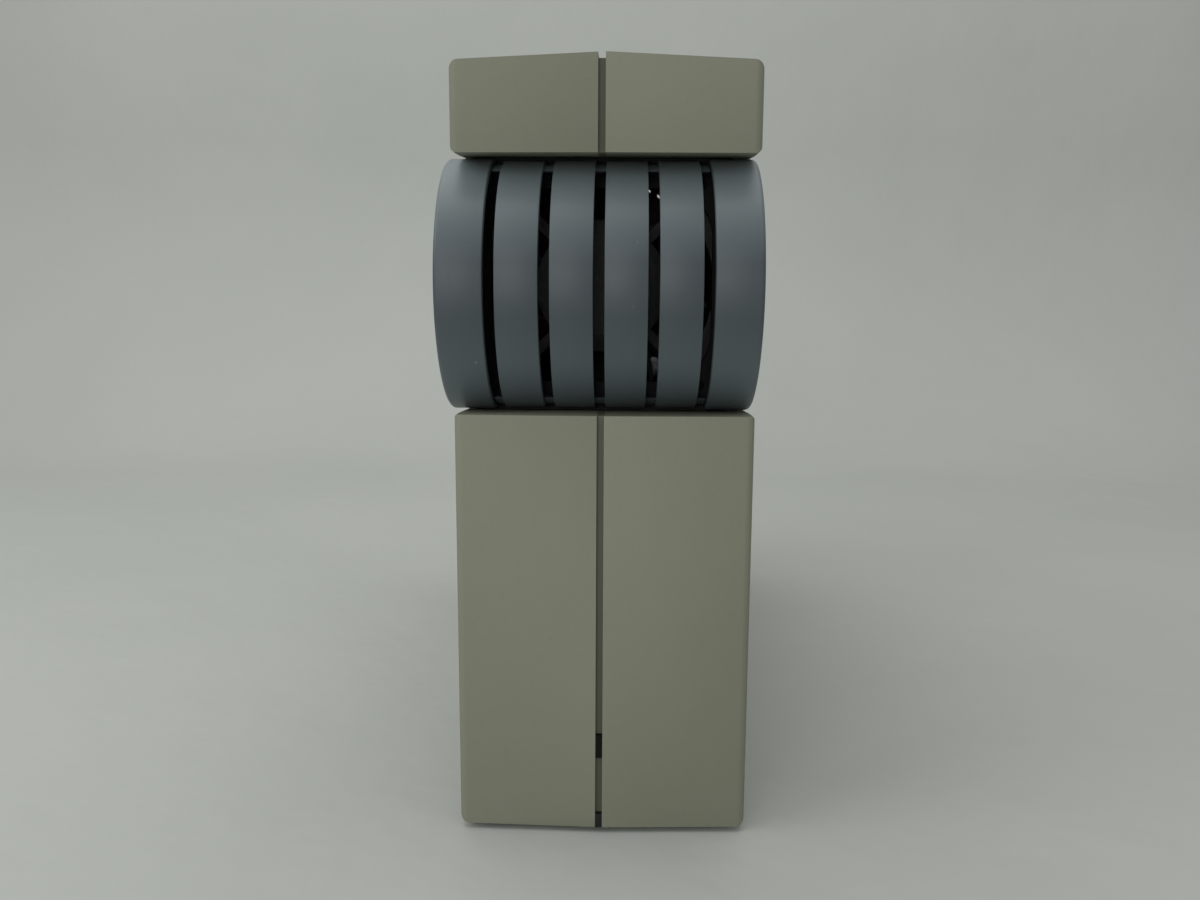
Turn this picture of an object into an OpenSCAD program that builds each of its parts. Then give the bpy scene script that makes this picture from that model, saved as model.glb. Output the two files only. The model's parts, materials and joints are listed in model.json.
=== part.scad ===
// External hard drive: two shells, a barrel louvre band, a fan, a disk drive on its edge, a power
// supply and a rear panel. Millimetres, +Z up, front towards -Y, standing on the plane Z = 0.
// X = 0 is the centre of the louvre band. Y = 0 is half way along the whole depth.

/* [Shells] */
// Width of the body beside the fan, on each side
side_w = 5.4; // [5:0.1:8]
// Height of the upper block, over the band's opening
upper_h = 21.6; // [20:0.1:30]
// Distance from the front to the drive, and from the drive to the rear edge
front_room = 53; // [52:0.5:70]
rear_room = 36; // [34:0.5:60]
// How much the lower block is higher than the drive is wide
lower_rim = 1.2; // [1:0.1:6]
// How much lower the band's opening is than the fan
band_lap = 0.4; // [0:0.1:2]
// Wall thickness of the shells
wall = 2.4; // [2:0.1:3]
// How far the front falls back from the ridge to each side
front_fall = 1.3; // [0:0.1:3]
// How far the top falls from the ridge to each side
top_fall = 1.35; // [0:0.05:3]
// Rounding of the upright front edges
edge_r = 2; // [1:0.1:2.3]
// Rounding of the four corners seen from the front
corner_r = 2.3; // [1:0.1:2.3]
// Width of the channel down the front and over the top
channel_w = 1.7; // [1:0.1:3]
// Depth of the channel
channel_d = 1.2; // [0.8:0.1:1.4]
// Height at which the channel's floor ends above the underside
channel_foot = 3.5; // [2:0.1:6]
// How far the left shell's tongue laps under the right shell
tongue_w = 1.1; // [0.5:0.1:2]
// How far the band's centre lies to the left of the parting plane
band_shift = 1.3; // [0.8:0.1:2]
// Radius of a shell's screw boss
boss_r = 3.4; // [3:0.1:4]
// Length of a shell's screw boss
boss_l = 14; // [8:0.5:20]

/* [Louvre band] */
// How far the band stands out from the body on each side, on average
band_proud = 2.05; // [1.8:0.05:4]
// How much the barrel's radius exceeds half the height of the opening
barrel_over = 1.2; // [1:0.1:2]
// How far the barrel stands proud of the shells' front ridge
barrel_proud = 4.6; // [2:0.1:8]
// Thickness of the bars
bar_t = 2.5; // [2:0.1:3]
// How much wider the louvres' pitch times their count is than the fan
louvre_over = 2.5; // [2:0.1:4]
// Width of a slot
slot_w = 2.6; // [2:0.1:4]
// Number of slots
slot_count = 5; // [5:2:5]
// Height of the webs that join the bars at their ends
web_h = 3.7; // [2.5:0.1:4.5]
// How far the webs lie behind the bars' lips
web_back = 0.9; // [0.5:0.1:1.4]
// Length of a cheek, from the barrel's front to its round end
cheek_l = 166; // [120:1:190]
// Depth of a cheek from its outer face to its seat
cheek_t = 4.4; // [4:0.1:5]
// Thickness of a cheek's skin
cheek_skin = 2.2; // [1.5:0.1:3]

/* [Fan] */
// Side of the square fan frame
fan_size = 60; // [60:0.1:60.6]
// Depth of the fan
fan_depth = 20; // [20:0.5:22]
// Thickness of the fan's ring at its thinnest
fan_ring_t = 1.5; // [1.2:0.1:3]
// Radius of the fan's motor base
fan_base_r = 16.7; // [15:0.1:18]
// Thickness of the motor base and its struts
fan_base_t = 2.5; // [2:0.1:3]
// Width of a strut
fan_strut_w = 2.6; // [2:0.1:4]
// Radius of the rotor's hub
fan_hub_r = 15.5; // [14:0.1:16.4]
// Distance from the middle of a screw hole of the fan to the fan's edge
fan_hole_in = 5; // [4:0.1:6]
// Radius of the fan's screw holes
fan_hole_r = 2.15; // [2:0.05:2.3]
// Radius of the fan's shaft
fan_shaft_r = 1.5; // [1.2:0.1:1.8]
// Number of fan blades
blade_count = 7; // [5:1:9]
// Thickness of a blade
blade_t = 1.4; // [1:0.1:2]
// Pitch angle of a blade
blade_angle = 38; // [25:1:50]

/* [Disk drive] */
// Length of the drive
drive_l = 146; // [145:0.1:147]
// Width of the drive, which stands upright
drive_w = 101.6; // [101:0.1:102]
// Height of the drive, which lies across the body
drive_t = 41.3; // [40:0.1:42]
// Radius of a platter
platter_r = 47.5; // [46:0.1:47.6]
// Thickness of a platter
platter_t = 0.8; // [0.6:0.1:1]
// Distance from platter to platter
platter_pitch = 4.8; // [4.4:0.1:4.8]
// Number of platters
platter_count = 5; // [3:1:5]
// Radius of the spindle's hub
hub_r = 12.5; // [11:0.1:13]
// Radius of the actuator's pivot shaft
pivot_r = 4; // [3:0.1:5]
// Length of the actuator arms from the pivot to the heads
arm_l = 47; // [45:0.5:48]

/* [Power supply] */
// Distance of the power supply board from the drive's front end and from its rear end
psu_in = 7; // [6:0.5:12]
psu_out = 12; // [10:0.5:20]
// Distance of the power supply board from the walls behind the cheeks
psu_side = 2.65; // [2:0.05:5]
// Thickness of a circuit board
board_t = 1.6; // [1.2:0.1:2]

/* [Rear panel] */
// Thickness of the rear panel
panel_t = 1.5; // [1:0.1:2]
// How far the rear panel lies inside the shells' rear edge
panel_inset = 3; // [2:0.1:5]
// Distance between the two ports
port_pitch = 31.6; // [30:0.1:34]
// How far the ports' centres lie above the middle of the lower block
port_rise = 4.6; // [3:0.1:5]
// Length of a port's flange
port_flange_l = 84; // [82:0.5:86]
// Width of a port's flange
port_flange_w = 17; // [16.4:0.1:18]
// Length of a port's shell
port_shell_l = 62; // [60:0.5:64]
// Width of a port's shell
port_shell_w = 15; // [14.4:0.1:15.2]
// How far a port's shell stands out from its flange
port_shell_d = 8; // [6:0.1:10]
// Thickness of a bail's wire
bail_wire = 1.6; // [1.2:0.1:1.8]
// Length of a bail from its hinge to its end
bail_l = 17; // [14:0.5:18]

/* [Feet] */
// Radius of a foot
foot_r = 5; // [4:0.1:6]
// How far the feet hold the shells off the table
foot_gap = 1.5; // [1:0.1:3]
// Distance of the feet from the front and from the rear
foot_inset = 25; // [20:1:40]

/* [Hidden] */
$fn = 64;

// Clearance between a piece and its seat
seat_gap = 0.3;
// Clearance of a tongue in its rebate
lap_gap = 0.15;
// Radial clearance of a shaft in its hole
run_gap = 0.05;
// How far a cut runs past the face it opens
over = 2;
// How far the channel's cut runs past the parting plane
shave = 0.015;
// Colours
beige = [0.74, 0.73, 0.66];
blue_grey = [0.45, 0.49, 0.53];
steel = [0.66, 0.67, 0.69];
board_green = [0.1, 0.35, 0.2];
black = [0.09, 0.09, 0.1];
copper = [0.72, 0.45, 0.2];
white = [0.88, 0.87, 0.82];
cast = [0.55, 0.56, 0.58];

// Sizes that follow from what the body holds
body_w = fan_size + 2 * side_w;
lower_h = drive_w + lower_rim;
band_h = fan_size - band_lap;
body_h = lower_h + band_h + upper_h;
body_d = front_room + drive_l + rear_room;
band_w = body_w + 2 * band_proud;
barrel_r = band_h / 2 + barrel_over;
slot_pitch = (fan_size + louvre_over) / slot_count;
fan_throat_r = fan_size / 2 - fan_ring_t;
fan_hole_pitch = fan_size - 2 * fan_hole_in;
psu_l = drive_l - psu_in - psu_out;

// Places along Y
flange_t = 1.2;
rear_out = flange_t + port_shell_d + seat_gap + bail_wire - panel_inset;
ridge_y = barrel_proud - (barrel_proud + body_d + rear_out) / 2;
rear_y = ridge_y + body_d;
panel_y = rear_y - panel_inset - panel_t;
panel_face_y = rear_y - panel_inset;
barrel_y = ridge_y - barrel_proud + barrel_r;
recess_y = barrel_y + seat_gap;
recess_back_y = recess_y + wall;
fan_y = recess_back_y + seat_gap;
fan_back_y = fan_y + fan_depth;

// Places along X
part_x = band_shift;
left_x = part_x - body_w / 2;
right_x = part_x + body_w / 2;
inner_right_x = right_x - wall;
band_x = band_w / 2;
seat_x = band_x - cheek_t;
inner_seat_x = seat_x - wall;
psu_w = 2 * (inner_seat_x - psu_side);

// Places along Z
base_z = foot_gap;
floor_z = base_z + wall;
band_z0 = base_z + lower_h;
band_z1 = band_z0 + band_h;
band_z = (band_z0 + band_z1) / 2;
ridge_z = base_z + body_h;
side_z = ridge_z - top_fall;

// Points of an arc about a centre, from one angle to another
arc_steps = 10;
function arc_points(c, r, a0, a1, n = arc_steps) =
    [for (i = [0:n]) c + r * [cos(a0 + (a1 - a0) * i / n), sin(a0 + (a1 - a0) * i / n)]];

// Outline of a rectangle with round corners, centred
function round_box(w, h, r) = concat(
    arc_points([w / 2 - r, h / 2 - r], r, 0, 90),
    arc_points([r - w / 2, h / 2 - r], r, 90, 180),
    arc_points([r - w / 2, r - h / 2], r, 180, 270),
    arc_points([w / 2 - r, r - h / 2], r, 270, 360)
);

// Extrudes an X-Z outline along Y, and a Y-Z outline along X
module along_y(y, l) translate([0, y + l, 0]) rotate([90, 0, 0]) linear_extrude(height = l) children();
module along_x(x, l) translate([x, 0, 0]) rotate([90, 0, 90]) linear_extrude(height = l) children();

// Cylinders that lie along Y and along X
module rod_y(x, y, z, r, l) translate([x, y, z]) rotate([-90, 0, 0]) cylinder(r = r, h = l);
module rod_x(x, y, z, r, l) translate([x, y, z]) rotate([0, 90, 0]) cylinder(r = r, h = l);

// A block given by its lowest corner and its highest corner
module block(a, b) translate(a) cube(b - a);

// A tube swept along points, as one closed form
lead_sides = 8;
function unit(v) = v / norm(v);
function tangent(p, i) =
    unit(p[min(i + 1, len(p) - 1)] - p[max(i - 1, 0)]);
function side_of(t) = unit(cross(t, abs(t[0]) < 0.9 ? [1, 0, 0] : [0, 0, 1]));
function carry(t, s) = unit(s - t * (s * t));
function sides_along(p, i, s, list = []) =
    i == len(p) ? list :
    let (n = carry(tangent(p, i), s)) sides_along(p, i + 1, n, concat(list, [n]));
module tube(p, r) {
    n = lead_sides;
    s = sides_along(p, 0, side_of(tangent(p, 0)));
    points = [for (i = [0:len(p) - 1]) for (k = [0:n - 1])
        let (t = tangent(p, i), a = 360 * k / n)
        p[i] + r * (s[i] * cos(a) + cross(t, s[i]) * sin(a))];
    walls = [for (i = [0:len(p) - 2]) for (k = [0:n - 1]) for (half = [0, 1])
        let (a = i * n + k, b = i * n + (k + 1) % n)
        half == 0 ? [a, a + n, b] : [b, a + n, b + n]];
    near_end = [for (k = [1:n - 2]) [0, k, k + 1]];
    last = (len(p) - 1) * n;
    far_end = [for (k = [1:n - 2]) [last, last + k + 1, last + k]];
    polyhedron(points = points, faces = concat(walls, near_end, far_end));
}

// A smooth run from one point to another that leaves along one axis and arrives along another
lead_steps = 16;
function swing(a, b, ta, tb) = [for (i = [0:lead_steps])
    let (t = i / lead_steps, u = 1 - t)
    u * u * u * a + 3 * u * u * t * (a + ta) + 3 * u * t * t * (b - tb) + t * t * t * b];

// A pan head screw that points along +Y from its head, or along -Y
module screw_y(x, y, z, r, l, head_r, head_t, way = 1) {
    slot_share = 0.22;
    difference() {
        union() {
            rod_y(x, way > 0 ? y : y - l, z, r, l);
            rod_y(x, way > 0 ? y - head_t : y, z, head_r, head_t);
        }
        for (turn = [0, 90])
            translate([x, way > 0 ? y - head_t : y + head_t, z]) rotate([0, turn, 0])
                cube([head_r * 1.3, head_t, head_r * slot_share], center = true);
    }
}

// Shells
// Plan of the body, drawn in by an amount on every outer face
function body_plan(d) =
    let (r = max(edge_r - d, seat_gap), fall = front_fall, x0 = left_x + d, x1 = right_x - d,
         y0 = ridge_y + d, y1 = ridge_y + d + fall)
    concat(
        [[part_x, y0]],
        arc_points([x1 - r, y1 + r], r, 270, 360),
        [[x1, rear_y + (d > 0 ? over : 0)], [x0, rear_y + (d > 0 ? over : 0)]],
        arc_points([x0 + r, y1 + r], r, 180, 270)
    );
// Front outline of the body, drawn in the same way
function body_front(d) =
    let (r = max(corner_r - d, seat_gap), x0 = left_x + d, x1 = right_x - d, z0 = base_z + d,
         z1 = side_z - d)
    concat(
        arc_points([x1 - r, z0 + r], r, 270, 360),
        arc_points([x1 - r, z1 - r], r, 0, 90),
        [[part_x, ridge_z - d]],
        arc_points([x0 + r, z1 - r], r, 90, 180),
        arc_points([x0 + r, z0 + r], r, 180, 270)
    );
module body_form(d) intersection() {
    linear_extrude(height = ridge_z + over) polygon(body_plan(d));
    along_y(ridge_y - over, body_d + 3 * over) polygon(body_front(d));
}

// Side outline of a cheek, drawn out by an amount: round in front and at the rear
cheek_back_y = ridge_y - barrel_proud + cheek_l - barrel_r;
module cheek_outline(d) {
    r = barrel_r + d;
    translate([barrel_y, band_z]) circle(r = r, $fn = 180);
    translate([barrel_y, band_z - r]) square([cheek_back_y - barrel_y, 2 * r]);
    translate([cheek_back_y, band_z]) circle(r = r, $fn = 180);
}
// Side outline of the front recess, whose ledges draw apart towards its wall
ledge_gap = 0.4;
recess_h = barrel_r + ledge_gap;
ledge_slope = (recess_h - band_h / 2) / (barrel_y - ridge_y);
module recess_outline() {
    front_h = band_h / 2 - over * ledge_slope;
    polygon([[ridge_y - over, band_z - front_h], [barrel_y, band_z - recess_h],
        [recess_y, band_z - recess_h], [recess_y, band_z + recess_h],
        [barrel_y, band_z + recess_h], [ridge_y - over, band_z + front_h]]);
}
// The part of the body that lies on one side of the parting plane
module half_space(side) {
    reach = body_w;
    block([side < 0 ? part_x - reach : part_x, ridge_y - barrel_r, 0],
        [side < 0 ? part_x : part_x + reach, rear_y + barrel_r, ridge_z + barrel_r]);
}
// Window in the wall behind the louvres, and its distances from the fan's edges
window_side = 2;
window_end = 5.8;
window_w = fan_size - 2 * window_side;
window_h = fan_size - 2 * window_end;
window_r = 12;
module window_outline() translate([0, band_z]) polygon(round_box(window_w, window_h, window_r));
// Screw bosses for the rear panel and for the fan
panel_boss_x = inner_right_x - part_x - boss_r + seat_gap;
panel_boss_z = [floor_z + boss_r - seat_gap, side_z - wall - boss_r];
panel_screw_r = 1.5;
fan_screw_r = 1.4;
boss_y = panel_y - seat_gap - boss_l;
// Places of the feet and of the light behind the front
foot_x = 22;
lamp_rise = 18;
lamp_z0 = base_z + lamp_rise;
lamp_h = 6.1;
light_board_in = 15;
light_board_y = ridge_y + light_board_in;
light_board_w = 14;
light_board_h = 16;
light_post_r = 2;

module shell(side) {
    difference() {
        union() {
            difference() {
                body_form(0);
                body_form(wall);
            }
            // Wall and ledges round the front recess
            intersection() {
                body_form(0);
                block([left_x, ridge_y, band_z - recess_h - wall],
                    [right_x, recess_back_y, band_z + recess_h + wall]);
            }
            // Wall behind each cheek
            intersection() {
                body_form(0);
                union() {
                    along_x(left_x, -inner_seat_x - left_x) cheek_outline(wall + seat_gap);
                    along_x(inner_seat_x, right_x - inner_seat_x) cheek_outline(wall + seat_gap);
                }
            }
            for (z = panel_boss_z)
                intersection() {
                    body_form(0);
                    rod_y(part_x + side * panel_boss_x, boss_y, z, boss_r, boss_l);
                }
        }
        // Recess for the band, its window, and the seats of the cheeks
        along_x(left_x - over, body_w + 2 * over) recess_outline();
        along_y(recess_y - over, wall + 2 * over) window_outline();
        along_x(left_x - over, over - seat_x - left_x) cheek_outline(seat_gap);
        along_x(seat_x, right_x - seat_x + over) cheek_outline(seat_gap);
        for (dx = [-1, 1], dz = [-1, 1])
            rod_y(dx * fan_hole_pitch / 2, recess_y - over, band_z + dz * fan_hole_pitch / 2,
                fan_screw_r + run_gap, wall + 2 * over);
        for (z = panel_boss_z)
            rod_y(part_x + side * panel_boss_x, boss_y + wall, z, panel_screw_r + run_gap, boss_l);
        for (y = [ridge_y + foot_inset, rear_y - foot_inset])
            translate([part_x + side * foot_x, y, base_z - over])
                cylinder(r = foot_r + seat_gap, h = over + wall / 2);
        for (y = chassis_screw_y)
            translate([part_x + side * chassis_screw_dx, y, base_z - over])
                cylinder(r = chassis_screw_r + run_gap, h = wall + 2 * over);
        half_space(-side);
    }
}

module left_shell() color(beige) {
    difference() {
        union() {
            shell(-1);
            // Tongue that laps under the right shell
            block([part_x - wall, ridge_y + channel_d + lap_gap, base_z + wall],
                [part_x + tongue_w, ridge_y + wall, band_z0 - wall]);
            block([part_x - wall, ridge_y + channel_d + lap_gap, band_z1 + wall],
                [part_x + tongue_w, ridge_y + wall, ridge_z - wall]);
            block([part_x - wall, ridge_y + channel_d + lap_gap, ridge_z - wall],
                [part_x + tongue_w, rear_y, ridge_z - channel_d - lap_gap]);
            // Posts of the light board
            for (dz = [-1, 1])
                rod_y(part_x - channel_w / 2, ridge_y + wall - lap_gap,
                    lamp_z0 + lamp_h / 2 + dz * (light_board_h / 2 - light_post_r), light_post_r,
                    light_board_y - seat_gap - ridge_y - wall + lap_gap);
        }
        // Channel down the front and over the top
        block([part_x - channel_w, ridge_y - over, base_z + channel_foot],
            [part_x + shave, ridge_y + channel_d, ridge_z + over]);
        block([part_x - channel_w, ridge_y - over, ridge_z - channel_d],
            [part_x + shave, rear_y + over, ridge_z + over]);
        // Window of the light pipe
        block([part_x - channel_w, ridge_y - over, lamp_z0],
            [part_x + tongue_w + over, ridge_y + wall + over, lamp_z0 + lamp_h]);
    }
}

module right_shell() color(beige) {
    difference() {
        shell(1);
        // Rebate for the tongue
        block([part_x - over, ridge_y + channel_d, floor_z - over / 4],
            [part_x + tongue_w + lap_gap, ridge_y + wall + over / 4, band_z0 - wall + lap_gap]);
        block([part_x - over, ridge_y + channel_d, band_z1 + wall - lap_gap],
            [part_x + tongue_w + lap_gap, ridge_y + wall + over / 4, ridge_z - wall]);
        block([part_x - over, ridge_y + channel_d, ridge_z - wall - over / 4],
            [part_x + tongue_w + lap_gap, rear_y + over, ridge_z - channel_d]);
    }
}

// Louvre band
// Side outline of the bars: the front half of a ring
module bar_outline(r) intersection() {
    translate([barrel_y, band_z]) difference() {
        circle(r = r, $fn = 180);
        circle(r = r - bar_t, $fn = 180);
    }
    translate([barrel_y - r - over, band_z - r - over]) square([r + over, 2 * (r + over)]);
}
first_slot_x = -slot_pitch * (slot_count - 1) / 2;
insert_x = -first_slot_x + slot_w / 2 - seat_gap;
cheek_edge_x = insert_x + seat_gap;
// The bars' radius, a little less than the cheeks'
insert_r = barrel_r - seat_gap;
open_h = insert_r - web_h;

module louvre_insert() color(blue_grey) difference() {
    along_x(-insert_x, 2 * insert_x) bar_outline(insert_r);
    for (i = [0:slot_count - 1]) {
        x = first_slot_x + i * slot_pitch - slot_w / 2;
        block([x, barrel_y - barrel_r - over, band_z - open_h],
            [x + slot_w, barrel_y + over, band_z + open_h]);
        along_x(x, slot_w) translate([barrel_y, band_z]) difference() {
            circle(r = barrel_r + over);
            circle(r = insert_r - web_back, $fn = 180);
        }
    }
}

module cheek(side) {
    x_out = side > 0 ? cheek_edge_x : -band_x;
    // Front leg, which is the outermost bar
    along_x(x_out, band_x - cheek_edge_x) bar_outline(barrel_r);
    // Side skin with its rim
    difference() {
        along_x(side > 0 ? seat_x + seat_gap : -band_x, cheek_t - seat_gap) cheek_outline(0);
        along_x(side > 0 ? seat_x - over : -band_x + cheek_skin, cheek_t - cheek_skin + over)
            cheek_outline(-cheek_skin);
    }
}
module left_cheek() color(blue_grey) cheek(-1);
module right_cheek() color(blue_grey) cheek(1);

// Front light
pipe_gap = 0.1;
pipe_w = channel_w - 2 * pipe_gap;
pipe_x = part_x - channel_w + pipe_gap;
pipe_y = ridge_y + channel_d / 4;
pipe_flange = 1;
pipe_l = 9;
lamp_r = 1.5;
lamp_x = part_x - channel_w / 2;
lamp_z = lamp_z0 + lamp_h / 2;
light_lead_r = 0.7;

module light_pipe() color([0.1, 0.16, 0.1]) {
    block([pipe_x, pipe_y, lamp_z0 + pipe_gap],
        [pipe_x + pipe_w, pipe_y + pipe_l, lamp_z0 + lamp_h - pipe_gap]);
    block([pipe_x - pipe_flange, ridge_y + wall + seat_gap, lamp_z0 - pipe_flange / 2],
        [pipe_x + pipe_w + pipe_flange, ridge_y + wall + seat_gap + pipe_flange,
            lamp_z0 + lamp_h + pipe_flange / 2]);
}
module light_board() color(board_green)
    block([lamp_x - light_board_w / 2, light_board_y, lamp_z - light_board_h / 2],
        [lamp_x + light_board_w / 2, light_board_y + board_t, lamp_z + light_board_h / 2]);
module light_lamp() color([0.2, 0.6, 0.25]) {
    lamp_y = pipe_y + pipe_l + seat_gap + lamp_r;
    translate([lamp_x, lamp_y, lamp_z]) sphere(r = lamp_r);
    rod_y(lamp_x, lamp_y, lamp_z, lamp_r, light_board_y - lamp_y);
}

// Fan
fan_flange = 4;
fan_corner_r = 3;
fan_edge = 0.1;
fan_tube_r = fan_size / 2 - fan_edge;
fan_air = 0.8;
bearing_r = 3.2;
bearing_l = 14;
stator_r = 12.6;
stator_core_r = 7;
pole_w = 5;
cup_t = 1.6;
blade_tip_gap = 0.8;
blade_chord = 22;
fan_head_r = 2.7;
fan_head_t = 1.8;

module fan_frame() color(black) {
    difference() {
        along_y(fan_y, fan_depth) translate([0, band_z])
            polygon(round_box(fan_size, fan_size, fan_corner_r));
        rod_y(0, fan_y - over, band_z, fan_throat_r, fan_depth + 2 * over);
        along_y(fan_y + fan_flange, fan_depth - 2 * fan_flange) translate([0, band_z]) difference() {
            square(fan_size + 2 * over, center = true);
            circle(r = fan_tube_r, $fn = 128);
        }
        for (dx = [-1, 1], dz = [-1, 1])
            rod_y(dx * fan_hole_pitch / 2, fan_y - over, band_z + dz * fan_hole_pitch / 2, fan_hole_r,
                fan_depth + 2 * over);
    }
    // Motor base on its struts, with the bearing tube
    difference() {
        union() {
            rod_y(0, fan_y, band_z, fan_base_r, fan_base_t);
            rod_y(0, fan_y, band_z, bearing_r, fan_base_t + bearing_l);
            intersection() {
                rod_y(0, fan_y, band_z, fan_throat_r + fan_base_t / 4, fan_base_t);
                for (turn = [45, 135])
                    translate([0, fan_y + fan_base_t / 2, band_z]) rotate([0, turn, 0])
                        cube([fan_size, fan_base_t, fan_strut_w], center = true);
            }
        }
        rod_y(0, fan_y + fan_base_t, band_z, fan_shaft_r + run_gap, bearing_l + over);
    }
}
module fan_motor() color(copper) {
    y = fan_y + fan_base_t + seat_gap;
    difference() {
        union() {
            rod_y(0, y, band_z, stator_core_r, bearing_l - seat_gap);
            intersection() {
                rod_y(0, y + seat_gap, band_z, stator_r, bearing_l - 3 * seat_gap);
                for (turn = [0, 90])
                    translate([0, y + bearing_l / 2, band_z]) rotate([0, turn, 0])
                        cube([2 * fan_hub_r, bearing_l + over, pole_w], center = true);
            }
        }
        rod_y(0, y - over, band_z, bearing_r + seat_gap, bearing_l + 2 * over);
    }
}
cup_y = fan_y + fan_base_t + fan_air;
cup_l = fan_back_y - fan_air - cup_y;
module fan_rotor() color([0.16, 0.16, 0.17]) {
    difference() {
        rod_y(0, cup_y, band_z, fan_hub_r, cup_l);
        rod_y(0, cup_y - over, band_z, fan_hub_r - cup_t, cup_l - cup_t + over);
    }
    rod_y(0, cup_y + fan_air, band_z, fan_shaft_r, cup_l - fan_air - cup_t / 2);
    intersection() {
        difference() {
            rod_y(0, cup_y + fan_air, band_z, fan_throat_r - blade_tip_gap, cup_l - fan_air);
            rod_y(0, cup_y, band_z, fan_hub_r - cup_t / 2, cup_l + over);
        }
        for (i = [0:blade_count - 1])
            translate([0, cup_y + cup_l / 2, band_z]) rotate([0, 360 * i / blade_count, 0])
                translate([(fan_hub_r + fan_throat_r) / 2, 0, 0]) rotate([blade_angle, 0, 0])
                    cube([fan_throat_r - fan_hub_r + over, blade_chord, blade_t], center = true);
    }
}
module fan_screws() color(steel)
    for (dx = [-1, 1], dz = [-1, 1])
        screw_y(dx * fan_hole_pitch / 2, fan_back_y + seat_gap, band_z + dz * fan_hole_pitch / 2,
            fan_screw_r, fan_depth + wall + seat_gap, fan_head_r, fan_head_t, way = -1);

// Chassis: a channel of sheet steel round the drive, whose top is the shelf of the power supply
chassis_t = 1.2;
chassis_z = floor_z + seat_gap;
drive_y = ridge_y + front_room;
drive_x = part_x - drive_t / 2;
drive_z = chassis_z + chassis_t + seat_gap;
drive_end_y = drive_y + drive_l;
shelf_z = drive_z + drive_w + seat_gap;
shelf_top_z = shelf_z + chassis_t;
side_plate_x = drive_x + drive_t + seat_gap;
vent_slot_l = 40;
vent_slot_w = 5;
chassis_screw_dx = 10;
chassis_screw_in = 18;
chassis_screw_y = [drive_y + chassis_screw_in, drive_end_y - chassis_screw_in];
chassis_screw_r = 1.5;
chassis_head_r = 3;
chassis_head_t = 1.1;
shelf_screw_x = part_x;
shelf_screw_in = 30;
shelf_screw_y = [drive_y + shelf_screw_in, drive_end_y - shelf_screw_in];
shelf_head_r = 2.8;
shelf_head_t = 1.8;
thread_l = 5;
psu_y = drive_y + psu_in;
psu_z = shelf_top_z + thread_l;
psu_post_x = 15;
psu_post_in = 13.5;
psu_post_y = [psu_y + psu_post_in, psu_y + psu_l - psu_post_in];
psu_post_r = 2.5;

module chassis() color(steel) difference() {
    along_y(drive_y, drive_l - psu_post_r) {
        translate([drive_x, chassis_z]) square([side_plate_x + chassis_t - drive_x, chassis_t]);
        translate([drive_x, shelf_z]) square([side_plate_x + chassis_t - drive_x, chassis_t]);
        translate([side_plate_x, chassis_z]) square([chassis_t, shelf_top_z - chassis_z]);
    }
    for (i = [-1:1], j = [-2:2])
        translate([side_plate_x - over, drive_y + drive_l / 2 + i * (vent_slot_l + 2 * over),
            drive_z + drive_w / 2 + j * 3 * vent_slot_w])
            along_x(0, chassis_t + 2 * over)
                polygon(round_box(vent_slot_l, vent_slot_w, vent_slot_w / 2 - lap_gap));
    for (y = chassis_screw_y, s = [-1, 1])
        translate([part_x + s * chassis_screw_dx, y, chassis_z - over])
            cylinder(r = chassis_screw_r + run_gap, h = chassis_t + 2 * over);
    for (y = shelf_screw_y)
        translate([shelf_screw_x, y, shelf_z - over])
            cylinder(r = chassis_screw_r + run_gap, h = chassis_t + 2 * over);
}
module chassis_screws() color(steel) {
    // From below, through the shells' floor into the chassis
    for (y = chassis_screw_y, s = [-1, 1])
        translate([part_x + s * chassis_screw_dx, y, base_z - chassis_head_t]) difference() {
            union() {
                cylinder(r = chassis_head_r, h = chassis_head_t);
                translate([0, 0, chassis_head_t / 2])
                    cylinder(r = chassis_screw_r, h = chassis_head_t / 2 + wall + seat_gap + chassis_t);
            }
            for (turn = [0, 90]) rotate([0, 0, turn])
                cube([chassis_head_r, chassis_head_r / 4, chassis_head_t * 0.9], center = true);
        }
    // From above, through the shelf into the drive
    for (y = shelf_screw_y)
        translate([shelf_screw_x, y, shelf_top_z - thread_l]) {
            cylinder(r = chassis_screw_r, h = thread_l + shelf_head_t);
            translate([0, 0, thread_l + seat_gap / 2]) cylinder(r = shelf_head_r, h = shelf_head_t);
        }
}

// Disk drive, from its cover at low X to its circuit board at high X
cover_t = 1.2;
gasket_t = 0.8;
base_x = drive_x + cover_t + gasket_t;
cavity_d = 24;
base_floor_t = 3;
base_d = 34;
base_wall = 4;
drive_corner_r = 3;
bay_gap = 1.5;
bay_r = platter_r + bay_gap;
spindle_y = drive_y + platter_r + base_wall;
spindle_z = drive_z + drive_w / 2;
// Place of the actuator's pivot from the spindle, and of its bay
pivot_dy = 56;
pivot_dz = -26;
pivot_y = spindle_y + pivot_dy;
pivot_z = spindle_z + pivot_dz;
bay_dy = 10;
bay_rim = 3;
bay_dz = 22;
bay_y = spindle_y + bay_dy;
bay_z0 = drive_z + bay_rim;
bay_z1 = spindle_z + bay_dz;
floor_x = base_x + cavity_d;
board_gap = 1;
board_x = base_x + base_d + board_gap;
spindle_pin_r = 2.5;
drive_post_r = 3;
module drive_outline(d) translate([drive_y + drive_l / 2, drive_z + drive_w / 2])
    polygon(round_box(drive_l - 2 * d, drive_w - 2 * d, drive_corner_r - d / 4));
module cavity_outline(d) {
    translate([spindle_y, spindle_z]) circle(r = bay_r - d, $fn = 128);
    translate([bay_y, bay_z0 + d])
        square([drive_end_y - base_wall - d - bay_y, bay_z1 - bay_z0 - 2 * d]);
}
header_l = 68;
header_t = 6.6;
header_w = 8;
header_dz = -8;
header_z = spindle_z + header_dz;
header_wall = 1;
header_end = 1.5;
header_floor = 2;
power_l = 21;
power_dz = 37;
power_z = spindle_z + power_dz;
pin_r = 1.6;
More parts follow.
